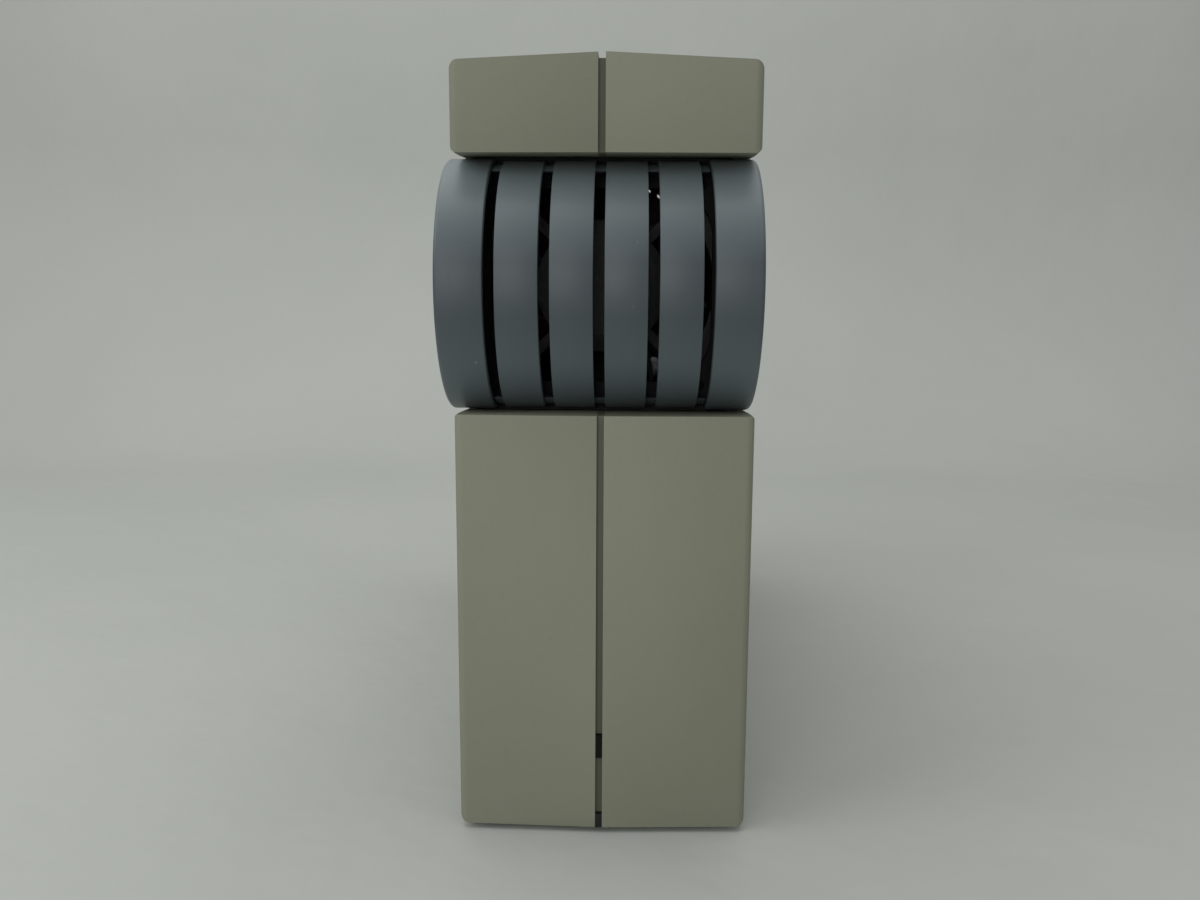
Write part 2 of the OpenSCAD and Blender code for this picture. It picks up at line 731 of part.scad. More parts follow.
// Distance of the power socket's pins from each other as a share of its length
pin_share = 0.238;
header_x = board_x - header_t;
// Places of the cover's screws, as the corners and middles of the drive's rim
rim_inset = 2.2;
cover_screw_r = 1;
cover_head_r = 1.9;
cover_head_t = 0.9;
cover_screw_l = 6;
cover_screws = [
    [drive_y + rim_inset, drive_z + rim_inset], [drive_y + rim_inset, drive_z + drive_w - rim_inset],
    [drive_end_y - rim_inset, drive_z + rim_inset],
    [drive_end_y - rim_inset, drive_z + drive_w - rim_inset],
    [pivot_y - cover_screw_l, drive_z + drive_w - rim_inset * 2]
];

module drive_base() color(cast) {
    difference() {
        along_x(base_x, base_d) drive_outline(0);
        along_x(base_x - over, cavity_d + over) cavity_outline(0);
        // Hollow behind the floor, open to the circuit board
        along_x(floor_x + base_floor_t, base_d) drive_outline(base_wall);
        // Ways out for the header and the power socket
        block([header_x - seat_gap, drive_end_y - 2 * base_wall, header_z - header_l / 2 - seat_gap],
            [board_x + over, drive_end_y + over, header_z + header_l / 2 + seat_gap]);
        block([header_x - seat_gap, drive_end_y - 2 * base_wall, power_z - power_l / 2 - seat_gap],
            [board_x + over, drive_end_y + over, power_z + power_l / 2 + seat_gap]);
        for (p = cover_screws)
            rod_x(base_x - over, p[0], p[1], cover_screw_r + run_gap, cover_screw_l + over);
        for (y = shelf_screw_y)
            translate([shelf_screw_x, y, drive_z + drive_w - thread_l])
                cylinder(r = chassis_screw_r + run_gap, h = thread_l + over);
    }
    rod_x(base_x + board_gap, spindle_y, spindle_z, spindle_pin_r, cavity_d);
    // Block that takes the shelf's screws
    for (y = shelf_screw_y)
        difference() {
            block([shelf_screw_x - drive_post_r, y - drive_post_r, drive_z + drive_w - 2 * thread_l],
                [shelf_screw_x + drive_post_r, y + drive_post_r, drive_z + drive_w - base_wall / 4]);
            translate([shelf_screw_x, y, drive_z + drive_w - thread_l])
                cylinder(r = chassis_screw_r + run_gap, h = thread_l + over);
            along_x(base_x - over, cavity_d + over) cavity_outline(0);
        }
}
module drive_gasket() color(black) difference() {
    along_x(drive_x + cover_t, gasket_t) drive_outline(seat_gap);
    along_x(drive_x, over + gasket_t) cavity_outline(-seat_gap);
    for (p = cover_screws)
        rod_x(drive_x, p[0], p[1], cover_screw_r + run_gap, over + gasket_t);
}
cover_step = 0.5;
module drive_cover() color(steel) difference() {
    along_x(drive_x, cover_t) drive_outline(0);
    along_x(drive_x - over, over + cover_step) cavity_outline(base_wall);
    for (p = cover_screws) rod_x(drive_x - over, p[0], p[1], cover_screw_r + run_gap, 2 * over);
}
module drive_screws() color(steel) for (p = cover_screws) {
    rod_x(drive_x - cover_head_t, p[0], p[1], cover_screw_r, cover_head_t + cover_screw_l);
    rod_x(drive_x - cover_head_t, p[0], p[1], cover_head_r, cover_head_t - lap_gap);
}
chip_t = 1.8;
// Chips of the drive's board as shares of its length and width: place and size
chip_shares = [[0.14, 0.18, 0.1, 0.16], [0.34, 0.28, 0.19, 0.27], [0.34, 0.68, 0.14, 0.2],
    [0.6, 0.3, 0.19, 0.27], [0.6, 0.7, 0.12, 0.17], [0.8, 0.62, 0.08, 0.3]];
board_inset = 3;
module drive_board() color(board_green) {
    l = drive_l - 2 * board_inset;
    w = drive_w - 2 * board_inset;
    block([board_x, drive_y + board_inset, drive_z + board_inset],
        [board_x + board_t, drive_y + board_inset + l, drive_z + board_inset + w]);
    for (c = chip_shares)
        translate([board_x + board_t, drive_y + board_inset + l * (c[0] - c[2] / 2),
            drive_z + board_inset + w * (c[1] - c[3] / 2)])
            cube([chip_t, l * c[2], w * c[3]]);
}
module drive_header() color(black) difference() {
    block([header_x, drive_end_y - header_w, header_z - header_l / 2],
        [board_x - lap_gap, drive_end_y, header_z + header_l / 2]);
    block([header_x + header_wall, drive_end_y - header_w + header_floor,
        header_z - header_l / 2 + header_end],
        [board_x - lap_gap - header_wall, drive_end_y + over, header_z + header_l / 2 - header_end]);
}
module drive_power_socket() color(white) difference() {
    block([header_x, drive_end_y - header_w, power_z - power_l / 2],
        [board_x - lap_gap, drive_end_y, power_z + power_l / 2]);
    for (i = [-1.5:1:1.5])
        rod_y(header_x + header_t / 2 - lap_gap / 2, drive_end_y - header_w + header_floor,
            power_z + i * power_l * pin_share, pin_r, header_w);
}

// Platter stack
hub_x1 = floor_x - seat_gap;
hub_flange_t = 1.2;
hub_flange_r = 16;
platter_x0 = hub_x1 - hub_flange_t - platter_t;
clamp_t = 1.2;
stack_x = platter_x0 - (platter_count - 1) * platter_pitch;
module ring_x(x, l, r_out, r_in) difference() {
    rod_x(x, spindle_y, spindle_z, r_out, l);
    rod_x(x - over, spindle_y, spindle_z, r_in, l + 2 * over);
}
module spindle_hub() color(steel) {
    ring_x(stack_x - clamp_t, hub_x1 - stack_x + clamp_t, hub_r, spindle_pin_r + run_gap);
    ring_x(hub_x1 - hub_flange_t, hub_flange_t, hub_flange_r, hub_r - over);
}
module platters() color([0.8, 0.8, 0.82])
    for (i = [0:platter_count - 1])
        ring_x(platter_x0 - i * platter_pitch, platter_t, platter_r, hub_r + run_gap);
module platter_spacers() color(cast) {
    for (i = [1:platter_count - 1])
        ring_x(platter_x0 - i * platter_pitch + platter_t, platter_pitch - platter_t, hub_flange_r,
            hub_r + run_gap);
    ring_x(stack_x - clamp_t, clamp_t, hub_flange_r, hub_r + run_gap);
}

// Head actuator, at rest with its heads on the inner landing zone
arm_t = 1.4;
barrel_arm_r = 9;
tip_r = 2.5;
rest_angle = 172.5;
coil_angle = rest_angle - 180;
coil_r0 = 18.3;
coil_r1 = 31;
coil_half = 16;
coil_t = 3.4;
coil_rim = 4;
coil_in = 10.3;
coil_x = base_x + coil_in;
magnet_gap = 0.6;
magnet_t = 1.4;
yoke_t = 2;
yoke_r0 = 15;
yoke_r1 = 33;
yoke_post_r = 2;
yoke_post_ring = 30;
// How far the yokes reach round the pivot either way from the coil, in degrees
yoke_back = 31;
yoke_ahead = 59;
magnet_end = 6;
post_end = 2;
function sector(r0, r1, a0, a1) =
    concat(arc_points([pivot_y, pivot_z], r1, a0, a1), arc_points([pivot_y, pivot_z], r0, a1, a0));
module actuator_arm() color(cast) {
    tip = [pivot_y + arm_l * cos(rest_angle), pivot_z + arm_l * sin(rest_angle)];
    n = [-sin(rest_angle), cos(rest_angle)];
    pivot = [pivot_y, pivot_z];
    difference() {
        union() {
            rod_x(stack_x, pivot_y, pivot_z, barrel_arm_r, hub_x1 - stack_x - seat_gap);
            for (i = [0:platter_count - 2])
                along_x(platter_x0 - i * platter_pitch - (platter_pitch - platter_t) / 2 - arm_t / 2,
                    arm_t) {
                    polygon([pivot + n * barrel_arm_r * 0.9, tip + n * tip_r, tip - n * tip_r,
                        pivot - n * barrel_arm_r * 0.9]);
                    translate(tip) circle(r = tip_r);
                }
            along_x(coil_x + lap_gap, coil_t - 2 * lap_gap)
                polygon(sector(barrel_arm_r / 2, coil_r0, coil_angle - coil_half,
                    coil_angle + coil_half));
        }
        rod_x(base_x - over, pivot_y, pivot_z, pivot_r + run_gap, cavity_d + over);
    }
    difference() {
        along_x(coil_x, coil_t)
            polygon(sector(coil_r0, coil_r1, coil_angle - coil_half, coil_angle + coil_half));
        along_x(coil_x - over, coil_t + 2 * over)
            polygon(sector(coil_r0 + coil_rim, coil_r1 - coil_rim, coil_angle - coil_half / 2,
                coil_angle + coil_half / 2));
    }
}
module actuator_pivot() color(steel)
    rod_x(base_x + seat_gap, pivot_y, pivot_z, pivot_r, cavity_d - 2 * seat_gap);
module magnet_yokes() color([0.5, 0.5, 0.52]) {
    reach = [coil_angle - yoke_back, coil_angle + yoke_ahead];
    magnet = [reach[0] + magnet_end, reach[1] - magnet_end];
    low_x = coil_x - magnet_gap - magnet_t - yoke_t;
    high_x = coil_x + coil_t + magnet_gap + magnet_t;
    for (x = [low_x, high_x])
        along_x(x, yoke_t) polygon(sector(yoke_r0, yoke_r1, reach[0], reach[1]));
    for (x = [low_x + yoke_t, high_x - magnet_t])
        along_x(x, magnet_t) polygon(sector(yoke_r0 + yoke_t, yoke_r1, magnet[0], magnet[1]));
    for (a = [reach[0] + post_end, reach[1] - post_end])
        rod_x(low_x, pivot_y + yoke_post_ring * cos(a), pivot_z + yoke_post_ring * sin(a),
            yoke_post_r, floor_x - low_x - seat_gap);
}

// Power supply
psu_top_z = psu_z + board_t;
part_z = psu_top_z + seat_gap;
psu_post_screw_r = 1.4;
core_l = 32;
core_h = 29;
core_t = 20;
bobbin_t = 28;
choke_ring_r = 9;
choke_tube_r = 4;
big_cap_r = 9;
big_cap_h = 30;
small_cap_r = 4;
small_cap_h = 13;
fin_t = 1.5;
sink_l = 52;
sink_h = 26;
sink_d = 9;
sink_count = 4;
terminal_h = 11;
terminal_w = 9;
psu_lead_y = psu_y + psu_l - terminal_w - fin_t;

module psu_board() color(board_green) difference() {
    block([-psu_w / 2, psu_y, psu_z], [psu_w / 2, psu_y + psu_l, psu_top_z]);
    for (x = [-psu_post_x, psu_post_x], y = psu_post_y)
        translate([x, y, psu_z - over]) cylinder(r = psu_post_screw_r + run_gap, h = board_t + 2 * over);
}
module psu_standoffs() color(steel)
    for (x = [-psu_post_x, psu_post_x], y = psu_post_y) translate([x, y, shelf_top_z]) {
        cylinder(r = psu_post_r, h = psu_z - shelf_top_z, $fn = 6);
        cylinder(r = psu_post_screw_r, h = part_z - shelf_top_z);
        translate([0, 0, psu_top_z - shelf_top_z + lap_gap])
            cylinder(r = psu_post_r, h = psu_post_screw_r);
    }
// Places of the parts on the board: from its front edge, or one from the other
big_cap_in = 26;
choke_step = 15;
core_step = 9;
big_cap_y = psu_y + big_cap_in;
choke_y = big_cap_y + choke_step;
core_y = choke_y + core_step;
sink_y = psu_y + psu_l / 2;
small_cap_y = (core_y + (bobbin_t + core_t) / 2 + psu_lead_y) / 2;
module psu_transformer() color([0.25, 0.22, 0.2]) {
    y = core_y;
    difference() {
        block([-core_l / 2, y, part_z], [core_l / 2, y + core_t, part_z + core_h]);
        block([-core_l / 3, y - over, part_z + core_h / 5],
            [core_l / 3, y + core_t + over, part_z + core_h * 0.8]);
    }
    block([-core_l / 3 + seat_gap, y - (bobbin_t - core_t) / 2, part_z + core_h / 5 + seat_gap],
        [core_l / 3 - seat_gap, y + (bobbin_t + core_t) / 2, part_z + core_h * 0.8 - seat_gap]);
    block([-core_l / 5, y + core_t / 3, part_z + core_h / 6],
        [core_l / 5, y + core_t * 2 / 3, part_z + core_h * 0.9]);
}
module psu_choke() color(copper)
    translate([0, choke_y, part_z + choke_ring_r + choke_tube_r]) rotate([90, 0, 0])
        rotate_extrude() translate([choke_ring_r, 0]) circle(r = choke_tube_r);
module can(r, h) rotate_extrude() polygon([[0, 0], [r, 0], [r, h * 0.06], [r * 0.93, h * 0.1],
    [r, h * 0.14], [r, h * 0.97], [r * 0.94, h], [0, h]]);
module psu_capacitors() color([0.12, 0.14, 0.3]) {
    for (s = [-1, 1])
        translate([s * (big_cap_r + fin_t), big_cap_y, part_z]) can(big_cap_r, big_cap_h);
    for (i = [-1:1])
        translate([i * 3 * small_cap_r, small_cap_y, part_z]) can(small_cap_r, small_cap_h);
}
module psu_heat_sinks() color(cast) for (s = [-1, 1]) {
    x = s * (psu_w / 2 - sink_d / 2 - fin_t);
    translate([x, sink_y, part_z]) linear_extrude(height = sink_h) {
        translate([-s * sink_d / 2, 0]) square([fin_t, sink_l], center = true);
        for (i = [0:2 * sink_count])
            translate([0, (i / sink_count - 1) * (sink_l - fin_t) / 2])
                square([sink_d + fin_t, fin_t], center = true);
    }
}
module psu_terminals() color(white) for (x = [-psu_w / 3.4, psu_w / 3.4], y = [psu_y + fin_t, psu_lead_y])
    difference() {
        block([x - terminal_w, y, part_z], [x + terminal_w, y + terminal_w, part_z + terminal_h]);
        for (i = [-1:1])
            translate([x + i * terminal_w * 0.6, y + terminal_w / 2, part_z + terminal_h / 2])
                cylinder(r = terminal_w / 6, h = terminal_h);
    }

// Rear panel and what it carries
port_x = [part_x - port_pitch / 2, part_x + port_pitch / 2];
port_mid_z = base_z + lower_h / 2 + port_rise;
port_hole_w = 13.6;
port_hole_l = 66;
shell_t = 0.8;
tongue_t = 4.4;
shell_slope = 1.5;
port_block_d = 9;
port_corner_r = 2.4;
flange_corner_r = 2;
hole_corner_r = 1;
flange_screw_in = 2.5;
flange_screw_z = port_flange_l / 2 - flange_screw_in;
flange_screw_r = 1.3;
flange_head_r = 2.3;
// Places of the two columns from the parting plane, and of the two rows from the band's middle
column_left = -12.5;
column_right = 19;
row_upper = 13.4;
row_lower = -13.6;
inlet_x = part_x + column_left;
inlet_z = band_z + row_upper;
inlet_w = 27.4;
inlet_h = 19.8;
inlet_rim = 2;
inlet_rim_t = 1.8;
inlet_wall = 1.5;
inlet_cut = 4;
inlet_depth = 17;
blade_w = 2;
blade_h = 4;
blade_dx = 7;
blade_dz = 4;
blade_l = 13;
switch_x = part_x + column_right;
switch_z = inlet_z;
switch_w = 13;
switch_h = 19.4;
switch_rim = 1.2;
switch_depth = 16;
rocker_w = 9.6;
rocker_h = 15.4;
rocker_tilt = 9;
rocker_pin_r = 1;
rocker_in = 1.5;
rocker_y = panel_face_y - rocker_in;
selector_x = part_x + column_right;
selector_z = band_z + row_lower;
selector_w = 12;
selector_h = 26;
selector_rim = 1;
selector_depth = 18;
wheel_r = 7;
wheel_w = 3.6;
wheel_axle_r = 1;
wheel_y = panel_face_y + flange_t - wheel_r - lap_gap;
button_w = 6;
button_h = 4.6;
button_out = 1.8;
button_travel = 1.2;
button_dz = 9.4;
button_in = 4;
term_x = part_x + column_left;
term_z = band_z + row_lower;
term_w = 19;
term_h = 8;
term_slot_w = 9;
term_slot_h = 4;
knob_w = 3.6;
knob_gap = 0.2;
term_depth = 8;
vent_count = 5;
vent_w = 3;
vent_h = 9;
vent_drop = 18;
vent_z = ridge_z - vent_drop;
hole_gap = 0.2;

module hole_y(x, z, w, h, r) along_y(panel_y - over, panel_t + 2 * over)
    translate([x, z]) polygon(round_box(w, h, r));
module rear_panel() color([0.6, 0.61, 0.6]) difference() {
    along_y(panel_y, panel_t) polygon(body_front(wall + seat_gap));
    for (x = port_x) {
        hole_y(x, port_mid_z, port_hole_w, port_hole_l, hole_corner_r);
        for (s = [-1, 1])
            rod_y(x, panel_y - over, port_mid_z + s * flange_screw_z, flange_screw_r + run_gap,
                panel_t + 2 * over);
    }
    hole_y(inlet_x, inlet_z, inlet_w + 2 * hole_gap, inlet_h + 2 * hole_gap, hole_corner_r);
    hole_y(switch_x, switch_z, switch_w + 2 * hole_gap, switch_h + 2 * hole_gap, hole_corner_r);
    hole_y(selector_x, selector_z, selector_w + 2 * hole_gap, selector_h + 2 * hole_gap, hole_corner_r);
    hole_y(term_x, term_z, term_w + 2 * hole_gap, term_h + 2 * hole_gap, hole_corner_r);
    for (i = [0:vent_count - 1], s = [-1, 1])
        hole_y(part_x + s * (i + 0.5) * 2 * vent_w - s * vent_w / 4, vent_z + vent_h / 2, vent_w, vent_h,
            vent_w / 2 - lap_gap);
    for (s = [-1, 1], z = panel_boss_z)
        rod_y(part_x + s * panel_boss_x, panel_y - over, z, panel_screw_r + run_gap, panel_t + 2 * over);
}
module panel_screws() color(steel) {
    for (s = [-1, 1], z = panel_boss_z)
        screw_y(part_x + s * panel_boss_x, panel_face_y + lap_gap, z, panel_screw_r,
            boss_l / 2, fan_head_r, fan_head_t, way = -1);
    for (x = port_x, s = [-1, 1])
        screw_y(x, panel_face_y + flange_t + lap_gap, port_mid_z + s * flange_screw_z, flange_screw_r,
            boss_l / 3, flange_head_r, flange_t, way = -1);
}

// Fillet of one corner of an outline, and an outline with all its corners rounded
fillet_steps = 6;
function fillet(a, b, c, r) =
    let (u = unit(a - b), v = unit(c - b), half = acos(u * v) / 2, mid = b + unit(u + v) * r / sin(half),
         p = b + u * r / tan(half) - mid, q = b + v * r / tan(half) - mid,
         a0 = atan2(p[1], p[0]), turn = (atan2(q[1], q[0]) - a0 + 540) % 360 - 180)
    arc_points(mid, r, a0, a0 + turn, fillet_steps);
function rounded(p, r) = [for (i = [0:len(p) - 1])
    each fillet(p[(i + len(p) - 1) % len(p)], p[i], p[(i + 1) % len(p)], r)];
// A port's shell, with one long side shorter than the other
function port_outline(d) =
    let (w = port_shell_w / 2 - d, l = port_shell_l / 2 - d)
    rounded([[-w, -l], [w, shell_slope - l], [w, l - shell_slope], [-w, l]], port_corner_r - d);
// Wire bails turn in ears on the flanges
hinge_out = 2;
hinge_y = panel_face_y + flange_t + hinge_out;
hinge_in = 7.5;
hinge_dz = port_flange_l / 2 - hinge_in;
ear_t = 1;
ear_x = 5;
ear_r = 1.7;
wire_r = bail_wire / 2;
leg_x = port_shell_w / 2 + seat_gap + wire_r;
bail_rest = asin((port_shell_d - hinge_out + wire_r + seat_gap) / bail_l);

module port_shells() color(steel) for (x = port_x) {
    difference() {
        along_y(panel_face_y, flange_t) translate([x, port_mid_z])
            polygon(round_box(port_flange_w, port_flange_l, flange_corner_r));
        along_y(panel_face_y - over, flange_t + 2 * over) translate([x, port_mid_z])
            polygon(port_outline(shell_t));
        for (s = [-1, 1])
            rod_y(x, panel_face_y - over, port_mid_z + s * flange_screw_z, flange_screw_r + run_gap,
                flange_t + 2 * over);
    }
    difference() {
        along_y(panel_face_y, flange_t + port_shell_d) translate([x, port_mid_z])
            polygon(port_outline(0));
        along_y(panel_face_y - over, flange_t + port_shell_d + 2 * over) translate([x, port_mid_z])
            polygon(port_outline(shell_t));
    }
    for (s = [-1, 1], e = [-1, 1])
        difference() {
            along_x(x + e * ear_x - ear_t / 2, ear_t) {
                translate([hinge_y, port_mid_z + s * hinge_dz]) circle(r = ear_r);
                translate([panel_face_y + flange_t / 2, port_mid_z + s * hinge_dz - ear_r])
                    square([hinge_y - panel_face_y - flange_t / 2, 2 * ear_r]);
            }
            rod_x(x + e * ear_x - over, hinge_y, port_mid_z + s * hinge_dz, wire_r + run_gap, 2 * over);
        }
}
insert_gap = 0.15;
tongue_in = 1;
contact_pitch = 2.16;
contact_count = 24;
module port_inserts() color(black) for (x = port_x) {
    along_y(panel_y - port_block_d, port_block_d + panel_t - insert_gap)
        translate([x, port_mid_z]) polygon(round_box(port_hole_w - 2 * insert_gap,
            port_hole_l - 2 * insert_gap, hole_corner_r));
    along_y(panel_face_y - over, over + flange_t) translate([x, port_mid_z])
        polygon(port_outline(shell_t + insert_gap));
    difference() {
        block([x - tongue_t / 2, panel_face_y, port_mid_z - port_shell_l / 2 + tongue_t],
            [x + tongue_t / 2, panel_face_y + flange_t + port_shell_d - tongue_in,
                port_mid_z + port_shell_l / 2 - tongue_t]);
        // Grooves that hold the contacts on both faces of the tongue
        for (i = [0:contact_count], s = [-1, 1])
            translate([x + s * tongue_t / 2, panel_face_y + flange_t + port_shell_d / 2,
                port_mid_z + (i - contact_count / 2) * contact_pitch])
                cube([shell_t, port_shell_d - 2 * tongue_in, contact_pitch / 2], center = true);
    }
}
// A bail that hangs down from its hinge, turned up about it by an angle
module bail(x, z, angle) color(steel) translate([x, hinge_y, z]) rotate([angle, 0, 0]) {
    for (s = [-1, 1]) {
        translate([s * leg_x, 0, -bail_l]) cylinder(r = wire_r, h = bail_l);
        translate([s * leg_x, 0, 0]) sphere(r = wire_r);
        translate([s * leg_x, 0, -bail_l]) sphere(r = wire_r);
        rod_x(s > 0 ? ear_x - ear_t : -leg_x, 0, 0, wire_r, leg_x - ear_x + ear_t);
    }
    rod_x(-leg_x, 0, -bail_l, wire_r, 2 * leg_x);
}
module bail_a_upper() bail(port_x[0], port_mid_z + hinge_dz, bail_rest);
module bail_a_lower() bail(port_x[0], port_mid_z - hinge_dz, 0);
module bail_b_upper() bail(port_x[1], port_mid_z + hinge_dz, bail_rest);
module bail_b_lower() bail(port_x[1], port_mid_z - hinge_dz, 0);

// Power inlet: a socket with two cut corners and three blades
function inlet_outline(d) =
    let (w = inlet_w / 2 - d, h = inlet_h / 2 - d)
    rounded([[-w, -h], [w, -h], [w, h - inlet_cut], [w - inlet_cut, h], [inlet_cut - w, h],
        [-w, h - inlet_cut]], hole_corner_r);
module power_inlet() color(black) difference() {
    union() {
        along_y(panel_face_y, inlet_rim_t) translate([inlet_x, inlet_z])
            polygon(round_box(inlet_w + 2 * inlet_rim, inlet_h + 2 * inlet_rim, inlet_rim));
        along_y(panel_face_y - inlet_depth, inlet_depth) translate([inlet_x, inlet_z])
            polygon(inlet_outline(0));
    }
    along_y(panel_face_y - inlet_depth + inlet_rim, inlet_depth + over) translate([inlet_x, inlet_z])
        polygon(inlet_outline(inlet_wall));
    for (b = [[-1, 0], [1, 0], [0, 1]])
        block([inlet_x + b[0] * blade_dx - blade_w / 2 - run_gap, panel_face_y - inlet_depth - over,
            inlet_z + b[1] * blade_dz - blade_h / 2 - run_gap],
            [inlet_x + b[0] * blade_dx + blade_w / 2 + run_gap, panel_face_y,
                inlet_z + b[1] * blade_dz + blade_h / 2 + run_gap]);
}
module inlet_blades() color([0.75, 0.72, 0.6]) for (b = [[-1, 0], [1, 0], [0, 1]])
    block([inlet_x + b[0] * blade_dx - blade_w / 2, panel_face_y - inlet_depth - inlet_cut,
        inlet_z + b[1] * blade_dz - blade_h / 2],
        [inlet_x + b[0] * blade_dx + blade_w / 2, panel_face_y - inlet_depth + inlet_rim + blade_l,
            inlet_z + b[1] * blade_dz + blade_h / 2]);

// Power switch
module power_switch() color(black) {
    difference() {
        union() {
            along_y(panel_face_y, flange_t) translate([switch_x, switch_z])
                polygon(round_box(switch_w + 2 * switch_rim, switch_h + 2 * switch_rim, switch_rim));
            along_y(panel_face_y - switch_depth, switch_depth + flange_t / 2)
                translate([switch_x, switch_z]) square([switch_w, switch_h], center = true);
        }
        along_y(panel_face_y - switch_depth / 2, switch_depth) translate([switch_x, switch_z])
            square([rocker_w + 2 * seat_gap, rocker_h + 4 * seat_gap], center = true);
        rod_x(switch_x - switch_w / 2 + shell_t, rocker_y, switch_z, rocker_pin_r + run_gap,
            switch_w - 2 * shell_t);
    }
}
module power_rocker() color([0.13, 0.13, 0.14])
    translate([switch_x, rocker_y, switch_z]) rotate([rocker_tilt, 0, 0]) {
        half = rocker_h / 2 - seat_gap;
        nose = panel_face_y + flange_t + button_out - rocker_y;
        along_x(-rocker_w / 2, rocker_w)
            polygon([[nose, half * cos(rocker_tilt)], [nose - shell_t, 0],
                [nose, -half * cos(rocker_tilt)], [-button_in / 2, -half * 0.8], [-button_in, 0],
                [-button_in / 2, half * 0.8]]);
        rod_x(-rocker_w / 2 - seat_gap * 2, 0, 0, rocker_pin_r, rocker_w + 4 * seat_gap);
    }

// Number selector: a wheel between two push buttons
module selector_body() color(black) difference() {
    union() {
        along_y(panel_face_y, flange_t) translate([selector_x, selector_z])
            polygon(round_box(selector_w + 2 * selector_rim, selector_h + 2 * selector_rim, selector_rim));
        along_y(panel_face_y - selector_depth, selector_depth + flange_t / 2)
            translate([selector_x, selector_z]) square([selector_w, selector_h], center = true);
    }
    rod_x(selector_x - wheel_w / 2 - seat_gap, wheel_y, selector_z, wheel_r + seat_gap,
        wheel_w + 2 * seat_gap);
    for (s = [-1, 1])
        block([selector_x - button_w / 2 - knob_gap,
            panel_face_y - button_in - button_travel - seat_gap,
            selector_z + s * button_dz - button_h / 2 - knob_gap],
            [selector_x + button_w / 2 + knob_gap, panel_face_y + over,
                selector_z + s * button_dz + button_h / 2 + knob_gap]);
    rod_x(selector_x - selector_w / 2 + shell_t, wheel_y, selector_z, wheel_axle_r + run_gap,
        selector_w - 2 * shell_t);
}
module selector_wheel() color(white) {
    rod_x(selector_x - wheel_w / 2, wheel_y, selector_z, wheel_r, wheel_w);
    rod_x(selector_x - selector_w / 2 + 2 * shell_t, wheel_y, selector_z, wheel_axle_r,
        selector_w - 4 * shell_t);
}
module selector_button(s) color([0.3, 0.3, 0.32])
    block([selector_x - button_w / 2, panel_face_y - button_in, selector_z + s * button_dz - button_h / 2],
        [selector_x + button_w / 2, panel_face_y + flange_t + button_out,
            selector_z + s * button_dz + button_h / 2]);
module selector_plus_button() selector_button(1);
module selector_minus_button() selector_button(-1);

// Termination switch
module termination_switch() color(black) difference() {
    union() {
        along_y(panel_face_y, flange_t / 2) translate([term_x, term_z])
            polygon(round_box(term_w + 2 * switch_rim, term_h + 2 * switch_rim, switch_rim));
        along_y(panel_face_y - term_depth, term_depth) translate([term_x, term_z])
            square([term_w, term_h], center = true);
    }
    along_y(panel_face_y - button_in, button_in + over) translate([term_x, term_z])
        square([term_slot_w, term_slot_h], center = true);
    block([term_x - term_w / 2 + shell_t, panel_face_y - button_in, term_z - term_h / 2 + shell_t],
        [term_x + term_w / 2 - shell_t, panel_face_y - button_in / 2, term_z + term_h / 2 - shell_t]);
}
module termination_slider() color(white) {
    x = term_x - term_slot_w / 2 + knob_gap;
    block([x, panel_face_y - button_in / 2 - knob_gap - term_slot_h / 4, term_z - term_slot_h / 2 + knob_gap],
        [x + knob_w, panel_face_y + button_out, term_z + term_slot_h / 2 - knob_gap]);
    block([x - knob_w / 3, panel_face_y - button_in + knob_gap, term_z - term_h / 2 + shell_t + knob_gap],
        [x + knob_w * 4 / 3, panel_face_y - button_in / 2 - knob_gap,
            term_z + term_h / 2 - shell_t - knob_gap]);
}

module feet() color([0.08, 0.08, 0.08])
    for (s = [-1, 1], y = [ridge_y + foot_inset, rear_y - foot_inset])
        translate([part_x + s * foot_x, y, 0]) cylinder(r = foot_r, h = foot_gap + wall / 2 - seat_gap);

// Leads
ribbon_t = 0.9;
ribbon_h = 62;
ribbon_plug_t = 5;
// Plan of a strip along points
function strip_side(p, s) = [for (i = [0:len(p) - 1])
    let (t = tangent(p, i)) p[i] + s * ribbon_t / 2 * [-t[1], t[0]]];
function strip(p) = concat(strip_side(p, 1), [for (i = [len(p) - 1:-1:0]) strip_side(p, -1)[i]]);
port_back_y = panel_y - port_block_d;
header_mid_x = header_x + header_t / 2;
module port_ribbon() color([0.62, 0.63, 0.65]) {
    z0 = header_z - ribbon_h / 2;
    clip_y = drive_end_y + seat_gap;
    start = [header_mid_x, clip_y + ribbon_plug_t - seat_gap];
    far = [port_x[0], port_back_y - ribbon_plug_t];
    near = [port_x[1], port_back_y - ribbon_plug_t];
    bend = [0, far[1] - start[1]];
    translate([0, 0, z0]) linear_extrude(height = ribbon_h) {
        polygon(strip(swing(start, far, bend, bend)));
        polygon(strip(swing(start, near, bend * 0.6, bend * 0.6)));
    }
    block([header_mid_x - header_t / 2, clip_y, z0], [header_mid_x + header_t / 2,
        clip_y + ribbon_plug_t, z0 + ribbon_h]);
    for (x = port_x)
        block([x - header_t / 2, port_back_y - seat_gap - ribbon_plug_t, z0],
            [x + header_t / 2, port_back_y - seat_gap, z0 + ribbon_h]);
}
lead_r = 1;
module drive_power_lead() color([0.75, 0.6, 0.1]) {
    plug_y = drive_end_y + seat_gap;
    plug_l = 7;
    x0 = psu_w / 3.4;
    for (i = [-1.5:1:1.5]) {
        a = [x0 + i * 3 * lead_r, psu_lead_y + terminal_w + seat_gap, part_z + terminal_h / 2];
        b = [header_x + header_t / 2, plug_y + plug_l - seat_gap, power_z + i * power_l * pin_share];
        tube(swing(a, b, [0, drive_w / 6, 0], [0, -drive_w / 6, 0]), lead_r);
    }
    block([header_x, plug_y, power_z - power_l / 2], [board_x - lap_gap, plug_y + plug_l,
        power_z + power_l / 2]);
}
